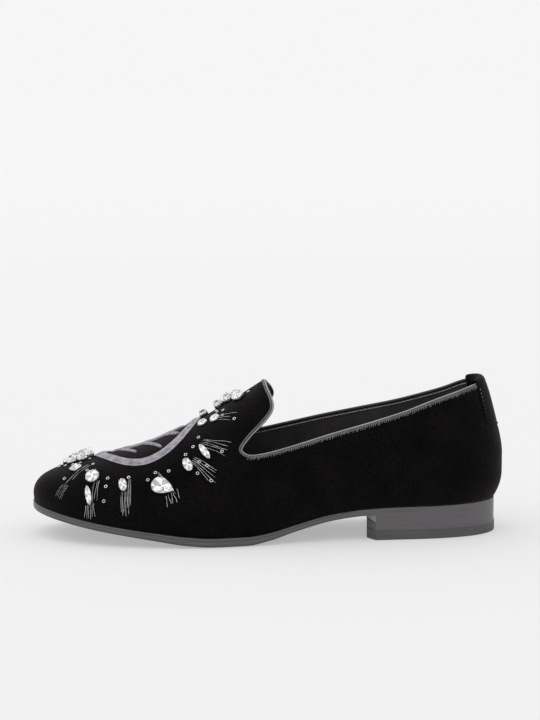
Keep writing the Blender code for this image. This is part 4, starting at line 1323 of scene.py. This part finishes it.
def make_embroidery(satin, cord):
    """A leaf outline in satin stitch edged with cord, and its rib with side veins."""
    round_leaf = np.linspace(0, FULL_TURN, FINE_STEPS)
    station = LEAF_MIDDLE + LEAF_HALF_LENGTH * np.cos(round_leaf)
    girth = DECOR_AXIS + LEAF_HALF_WIDTH * signed_power(np.sin(round_leaf), LEAF_POINTEDNESS)
    leaf = satin_band(station, girth, np.full(FINE_STEPS, BAND_HALF_WIDTH), loop=True)
    add_piece("satin_leaf", *leaf, [satin], "satin_thread", ["embroidery_leaf"])
    edges = []
    for offset in (-EDGE_CORD_OFFSET, EDGE_CORD_OFFSET):
        route = beside_line(station, girth, offset)
        edges.append(twisted_cord(*route, EDGE_CORD_RADIUS, EDGE_CORD_PITCH))
    add_piece("leaf_edge_cords", *joined(edges), [cord], "satin_thread")

    share = np.linspace(-1, 1, FINE_STEPS)
    half_width = RIB_HALF_WIDTH * (RIB_SWELL - share ** 2 * RIB_TAPER)
    bands = [satin_band(LEAF_MIDDLE + RIB_HALF_LENGTH * share, np.full(FINE_STEPS, DECOR_AXIS), half_width)]
    share = np.linspace(0, 1, FINE_STEPS)
    half_width = VEIN_HALF_WIDTH * (1 - VEIN_TAPER * share)
    for start, back, out in VEINS:
        reach = VEIN_START + (out - VEIN_START) * share
        for side in (OUTER, INNER):
            bands.append(satin_band(start - back * share, DECOR_AXIS + side * reach, half_width))
    add_piece("satin_rib", *joined(bands), [satin], "satin_thread", ["embroidery_rib"])


def stone_outline(cut, turn):
    """Plan of a cut stone within a unit circle, its length along the first axis. A navette's width is a power
    of a sine, a pear's a sine that swells to one end, and a cushion is a circle squared up."""
    length, width = np.cos(turn), np.sin(turn)
    if cut == "navette":
        width = signed_power(width, NAVETTE_POINTEDNESS)
    if cut == "pear":
        width = width * np.sin(turn / 2) / PEAR_WIDEST
    if cut == "cushion":
        length, width = (signed_power(v, CUSHION_SQUARENESS) * CUSHION_SIZE for v in (length, width))
    return np.stack([length, width], -1)


def stone_frame(station, girth, slant, side):
    """Seat of a stone on the vamp, its normal, and the ways along its length and width."""
    points, normals = on_vamp(np.array((station, station + STONE_AHEAD)), np.array((girth, girth)))
    normal = normals[0]
    forward = points[1] - points[0]
    forward = unit(forward - normal * forward.dot(normal))
    outward = np.cross(forward, normal) * side
    lean = math.radians(slant)
    long_way = outward * math.cos(lean) + forward * math.sin(lean)
    return points[0], normal, long_way, np.cross(normal, long_way)


def on_stone(place, shape, turn, scale, level):
    """Points of a stone's outline, scaled against its girdle, at a share of its height above its seat."""
    point, normal, long_way, wide_way = place
    cut, length, width, height = shape
    plan = stone_outline(cut, turn) * (length / 2, width / 2) * np.asarray(scale)[..., None]
    flat = plan[..., :1] * long_way + plan[..., 1:] * wide_way
    return point + flat + normal * (SEAM_GAP + height * np.asarray(level)[..., None])


def cut_stone(place, shape, painted_shade_flecks):
    """A brilliant cut: girdle, break and table rings with star, kite and girdle facets above, a foiled cone
    below, its facets bright and dim by turns as painted shade, and some dark as painted shade flecks."""
    i = np.arange(GIRDLE_POINTS)
    j = (i + 1) % GIRDLE_POINTS
    half = GIRDLE_POINTS // 2
    k = np.arange(half)
    before, after = (k - 1) % half, (k + 1) % half
    even, odd, next_even = i[::2], i[1::2], j[1::2]
    fine = round_turns(GIRDLE_POINTS)
    levels = ((fine[even], CULET), (fine[odd], BACK), (fine, GIRDLE_LOW), (fine, GIRDLE_HIGH),
              (fine[odd], BREAK), (fine[even], TABLE))
    rings = [on_stone(place, shape, turn, *scale_and_level) for turn, scale_and_level in levels]
    culet, middle, low, high, kink, table = np.cumsum([0] + [len(ring) for ring in rings[:-1]])

    def facets(*corners):
        return np.stack(corners, -1).tolist()

    crown = facets(table + k, kink + k, table + after)
    crown += facets(table + k, kink + before, high + even, kink + k)
    crown += facets(kink + k, high + even, high + odd)
    crown += facets(kink + k, high + odd, high + next_even)
    crown.append((table + k).tolist())
    back = facets(low + even, middle + k, low + odd)
    back += facets(low + odd, middle + k, low + next_even)
    back += facets(middle + k, culet + k, culet + after)
    back += facets(low + next_even, middle + k, culet + after, middle + after)
    back += facets(low + i, low + j, high + j, high + i)
    back.append((culet + k[::-1]).tolist())
    # Foils of the back facets: a painted glow on the bright ones, painted shade on the dim and dark ones.
    tone = np.full(len(back), BRIGHT_PAINTED_GLOW)
    tone[half:2 * half] = DIM_PAINTED_SHADE
    tone[2 * half:3 * half:2] = DARK_PAINTED_SHADE if painted_shade_flecks else DIM_PAINTED_SHADE
    tone[3 * half + 1:4 * half:2] = DIM_PAINTED_SHADE
    return np.concatenate(rings), crown + back, [CLEAR] * len(crown) + tone.tolist()


def claw_setting(place, shape):
    """A cup, the outline of the stone carried through a closed profile, and claws, tapering bars bent over
    the girdle."""
    point, normal, _, _ = place
    turn = np.broadcast_to(round_turns(CUP_POINTS)[:, None], (CUP_POINTS, len(CUP)))
    cup = on_stone(place, shape, turn, CUP[:, 0], CUP[:, 1])
    parts = [(cup.reshape(-1, 3), grid_quads(CUP_POINTS, len(CUP), loop_columns=True, loop_rows=True))]
    for turn in round_turns(CLAWS) + HALF_TURN / CLAWS:
        path = on_stone(place, shape, np.full(len(CLAW_PATH), turn), CLAW_PATH[:, 0], CLAW_PATH[:, 1])
        sideways = unit(np.cross(normal, path[1] - point))
        along = unit(np.gradient(path, axis=0))
        thickness = CLAW_RADIUS * CLAW_PATH[:, 2]
        path = np.concatenate([path[:1], path, path[-1:] + along[-1:] * thickness[-1]])
        along = np.concatenate([along[:1], along, along[-1:]])
        thickness = np.concatenate([[0], thickness, [0]])[:, None]
        across = np.broadcast_to(sideways, path.shape)
        parts.append(tube(path, unit(np.cross(along, sideways)), across, thickness, CLAW_SIDES))
    return parts


def make_stones(stone_finishes, silver, dark_silver):
    """Cut stones, alike on both sides of the leaf's axis and in two clusters on it, each in its claws."""
    rows = []
    for name, cut, station, girth, *size, slant in PAIRED_STONES:
        for word, side, reach in (("outer", OUTER, -girth), ("inner", INNER, girth * INNER_REACH)):
            rows.append((f"{name}_{word}", station, reach, slant, side, (cut, *size), True))
    for name, cut, station, girth, *size, slant in AXIS_STONES + RIDGE_STONES:
        rows.append((name, station, girth, slant, OUTER, (cut, *size), False))
    cups, claws = [], []
    for name, station, girth, slant, side, shape, painted_shade_flecks in rows:
        place = stone_frame(station, DECOR_AXIS + girth, slant, side)
        points, faces, finish_of_face = cut_stone(place, shape, painted_shade_flecks)
        node = [f"stone_{name}"] if f"stone_{name}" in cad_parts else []
        add_piece(f"crystal_{name}", points, faces, stone_finishes, "cut_glass", node, smooth=False,
                  finish_of_face=finish_of_face)
        cup, *claws_of_stone = claw_setting(place, shape)
        cups.append(cup)
        claws += claws_of_stone
    quads = [sum(len(faces) for _, faces in shapes) for shapes in (cups, claws)]
    add_piece("claw_settings", *joined(cups + claws), [silver, dark_silver],
              finish_of_face=np.repeat((1, 0), quads))


def both_sides(station, girth):
    """Places on the outer and on the inner half of the vamp."""
    girths = np.concatenate([DECOR_AXIS - girth, DECOR_AXIS + girth * INNER_REACH])
    return np.concatenate([station, station]), girths


def make_beads(silver):
    """Seed beads sewn flat on the velvet."""
    point, normal = on_vamp(*both_sides(BEADS[:, 0], BEADS[:, 1]))
    side = unit(np.cross(normal, BEAD_WAY))
    points, faces = copies(ring_bead(), point + normal * BEAD_TUBE, side, np.cross(normal, side), normal)
    add_piece("seed_beads", points, faces, [silver])


def make_sprays(metal_thread_painted_glints):
    """Fans of metal thread. Each strand leaves the root, bows over the velvet and ends at its own length in
    the fan."""
    chance = np.random.default_rng(SPRAY_SEED)
    strands = []
    for station_a, girth_a, station_b, girth_b, count, root, fan, radius in SPRAYS:
        share = np.linspace(-0.5, 0.5, count) + chance.uniform(-STRAND_UNEVEN, STRAND_UNEVEN, count) / count
        reach = chance.uniform(STRAND_SHORTEST, 1.0, count)
        height = chance.uniform(STRAND_LOWEST, 1.0, count)
        sway = chance.uniform(-STRAND_WAVE, STRAND_WAVE, count)
        along = np.array((station_b - station_a, girth_b - girth_a))
        across = np.array((-along[1], along[0])) / np.hypot(*along)
        t = np.linspace(0, 1, STRAND_POINTS) * reach[:, None]
        offset = share[:, None] * (root + (fan - root) * t ** FAN_POWER)
        offset = offset + sway[:, None] * np.sin(FULL_TURN * t)
        plan = np.array((station_a, girth_a)) + t[..., None] * along + offset[..., None] * across
        lift = STRAND_LIFT + STRAND_ARCH * height[:, None] * np.sin(HALF_TURN * t / reach[:, None])
        point, normal = on_vamp(*both_sides(plan[..., 0], plan[..., 1]))
        path = point + normal * np.concatenate([lift, lift])[..., None]
        strands.append((path, normal, np.full((2 * count, 1), radius)))
    path, normal, radius = (np.concatenate(column) for column in zip(*strands))
    sideways = unit(np.cross(normal, np.gradient(path, axis=1)))
    around = round_turns(STRAND_SIDES)[:, None]
    thickness = radius * np.sqrt(1 - np.linspace(-1, 1, STRAND_POINTS) ** STRAND_END_POWER)
    ring = np.cos(around) * sideways[:, :, None] + np.sin(around) * normal[:, :, None]
    points = path[:, :, None] + ring * thickness[:, :, None, None]
    quads = grid_quads(STRAND_POINTS, STRAND_SIDES, loop_rows=True)
    faces = repeated(quads, len(path), STRAND_POINTS * STRAND_SIDES)
    add_piece("thread_sprays", points, faces, [metal_thread_painted_glints])


# Studio

def make_studio():
    """A pale floor, a pale surround that dims towards the camera's side, and a wide soft light from above."""
    material, tree, surface = finish("pale_floor", Roughness=0.9, Specular_IOR_Level=0.0,
                                     Base_Color=FLOOR_COLOUR, Emission_Color=WHITE)
    tree.links.new(along_axis(tree, "Object", "Y", FLOOR_GLOW), surface.inputs["Emission Strength"])
    mesh = bpy.data.meshes.new("floor")
    corners = [(x * FLOOR_HALF, y * FLOOR_HALF, 0) for x, y in ((-1, -1), (1, -1), (1, 1), (-1, 1))]
    mesh.from_pydata(corners, [], [(0, 1, 2, 3)])
    mesh.materials.append(material)
    floor = bpy.data.objects.new("floor", mesh)
    bpy.context.scene.collection.objects.link(floor)
    world = bpy.data.worlds.new("surround")
    bpy.context.scene.world = world
    world.use_nodes = True
    backdrop = world.node_tree.nodes["Background"]
    backdrop.inputs["Color"].default_value = WHITE
    dimmed = along_axis(world.node_tree, "Generated", "Y", SURROUND)
    world.node_tree.links.new(dimmed, backdrop.inputs["Strength"])
    light = bpy.data.lights.new("overhead", "SUN")
    light.energy = OVERHEAD_ENERGY
    light.angle = math.radians(OVERHEAD_WIDTH)
    lamp = bpy.data.objects.new("overhead", light)
    lamp.rotation_euler = tuple(math.radians(turn) for turn in OVERHEAD_TURNS)
    bpy.context.scene.collection.objects.link(lamp)
    bpy.context.scene.view_settings.view_transform = "Standard"


def make_camera():
    """The photograph's camera, aimed so that the middle of the shoe falls below and left of the image's
    middle."""
    azimuth, elevation = math.radians(CAMERA_AZIMUTH), math.radians(CAMERA_ELEVATION)
    right = np.array((math.cos(azimuth), math.sin(azimuth), 0.0))
    level = np.array((math.sin(azimuth), -math.cos(azimuth), 0.0)) * math.cos(elevation)
    back = level + np.array((0.0, 0.0, math.sin(elevation)))
    up = np.cross(back, right)
    aim = TARGET + (right * TARGET_LEFT_OF_CENTRE + up * TARGET_BELOW_CENTRE) / PIXELS_PER_MM
    place = TARGET + back * CAMERA_DISTANCE
    camera = bpy.data.objects.new("camera", bpy.data.cameras.new("camera"))
    camera.data.sensor_width = SENSOR
    camera.data.lens = PIXELS_PER_MM * CAMERA_DISTANCE / IMAGE_HEIGHT * SENSOR
    camera.location = place * MM
    camera.rotation_euler = Vector((aim - place) * MM).to_track_quat("-Z", "Y").to_euler()
    bpy.context.scene.collection.objects.link(camera)
    bpy.context.scene.camera = camera


def main():
    """Makes each finish and each piece, then the studio and the camera."""
    velvet = velvet_finish()
    lining = kid_finish("lining_kid", (0.044, 0.041, 0.04), (0.072, 0.068, 0.066), 0.5, grain_scale=1500)
    sock = kid_finish("sock_kid", (0.04, 0.0375, 0.0365), (0.066, 0.062, 0.06), 0.42, grain_scale=1300)
    # Pale ribbon: a painted highlight on the top of the bound edge.
    ribbon = kid_finish("edge_ribbon_painted_highlight", (0.25, 0.246, 0.25), (0.38, 0.372, 0.38), 0.38, grain_scale=2500)
    facing = kid_finish("facing_ribbon", (0.03, 0.033, 0.04), (0.046, 0.051, 0.06), 0.36, grain_scale=2500)
    cord = thread_finish("foot_cord", (0.06, 0.058, 0.06), (0.13, 0.127, 0.13), 0.42)
    whip = thread_finish("whip_thread", (0.08, 0.077, 0.076), (0.19, 0.184, 0.181), 0.45)
    stitch = thread_finish("stitch_thread", (0.4, 0.4, 0.41), (0.62, 0.62, 0.63), 0.45)
    make_upper(velvet, lining)
    make_binding(ribbon, facing, cord, whip)
    make_facing(facing, stitch)
    make_heel_tab(velvet, fading_thread_finish())

    flap = edge_leather_finish("flap_leather", (0.26, 0.256, 0.254), (0.38, 0.375, 0.37), 0.4, layered=300)
    # A dark sheet below the flap: painted shadow.
    painted_shadow_sheet = edge_leather_finish("flap_painted_shadow", (0.012, 0.012, 0.012), (0.03, 0.03, 0.03), 0.5,
                                   layered=300)
    stack = edge_leather_finish("heel_stack", (0.092, 0.087, 0.092), (0.116, 0.11, 0.117), 0.42, layered=700)
    make_outsole(sole_finish())
    make_sock(sock)
    make_heel(stack, rubber_finish())
    make_breast_flap(flap, painted_shadow_sheet)

    satin = thread_finish("lilac_satin", (0.17, 0.158, 0.185), (0.42, 0.395, 0.45), 0.36)
    edge_cord = thread_finish("lilac_cord", (0.34, 0.325, 0.365), (0.56, 0.54, 0.6), 0.4)
    make_embroidery(satin, edge_cord)

    silver = silver_finish("silver_claws", (0.5, 0.5, 0.505), (0.8, 0.8, 0.805), 0.25)
    dark_silver = silver_finish("dark_silver_cups", (0.1, 0.1, 0.102), (0.3, 0.3, 0.305), 0.3)
    # The foil's emission is a painted glow behind the stones.
    foil = silver_finish("silver_foil_painted_glow", (0.97, 0.97, 0.965), (1.0, 1.0, 0.995), 0.16, metallic=0.55,
                         painted_glow=0.32)
    # Dim and dark copies of the foil: painted shade on the stones' back facets.
    dim_foil_painted_shade = silver_finish("dim_foil_painted_shade", (0.6, 0.6, 0.6), (0.84, 0.84, 0.84), 0.2, metallic=0.5)
    dark_foil_painted_shade = silver_finish("shaded_foil", (0.03, 0.03, 0.03), (0.12, 0.12, 0.12), 0.2)
    make_stones([crystal_finish(), foil, dim_foil_painted_shade, dark_foil_painted_shade], silver, dark_silver)

    beads = silver_finish("bead_silver", (0.45, 0.45, 0.455), (0.88, 0.88, 0.885), 0.25)
    # Dark grey to near white: painted glints along the metal strands.
    metal_thread_painted_glints = thread_finish("metal_thread_painted_glints", (0.2, 0.2, 0.205), (0.97, 0.97, 0.975), 0.24, metallic=0.35)
    make_beads(beads)
    make_sprays(metal_thread_painted_glints)
    make_studio()
    make_camera()


main()
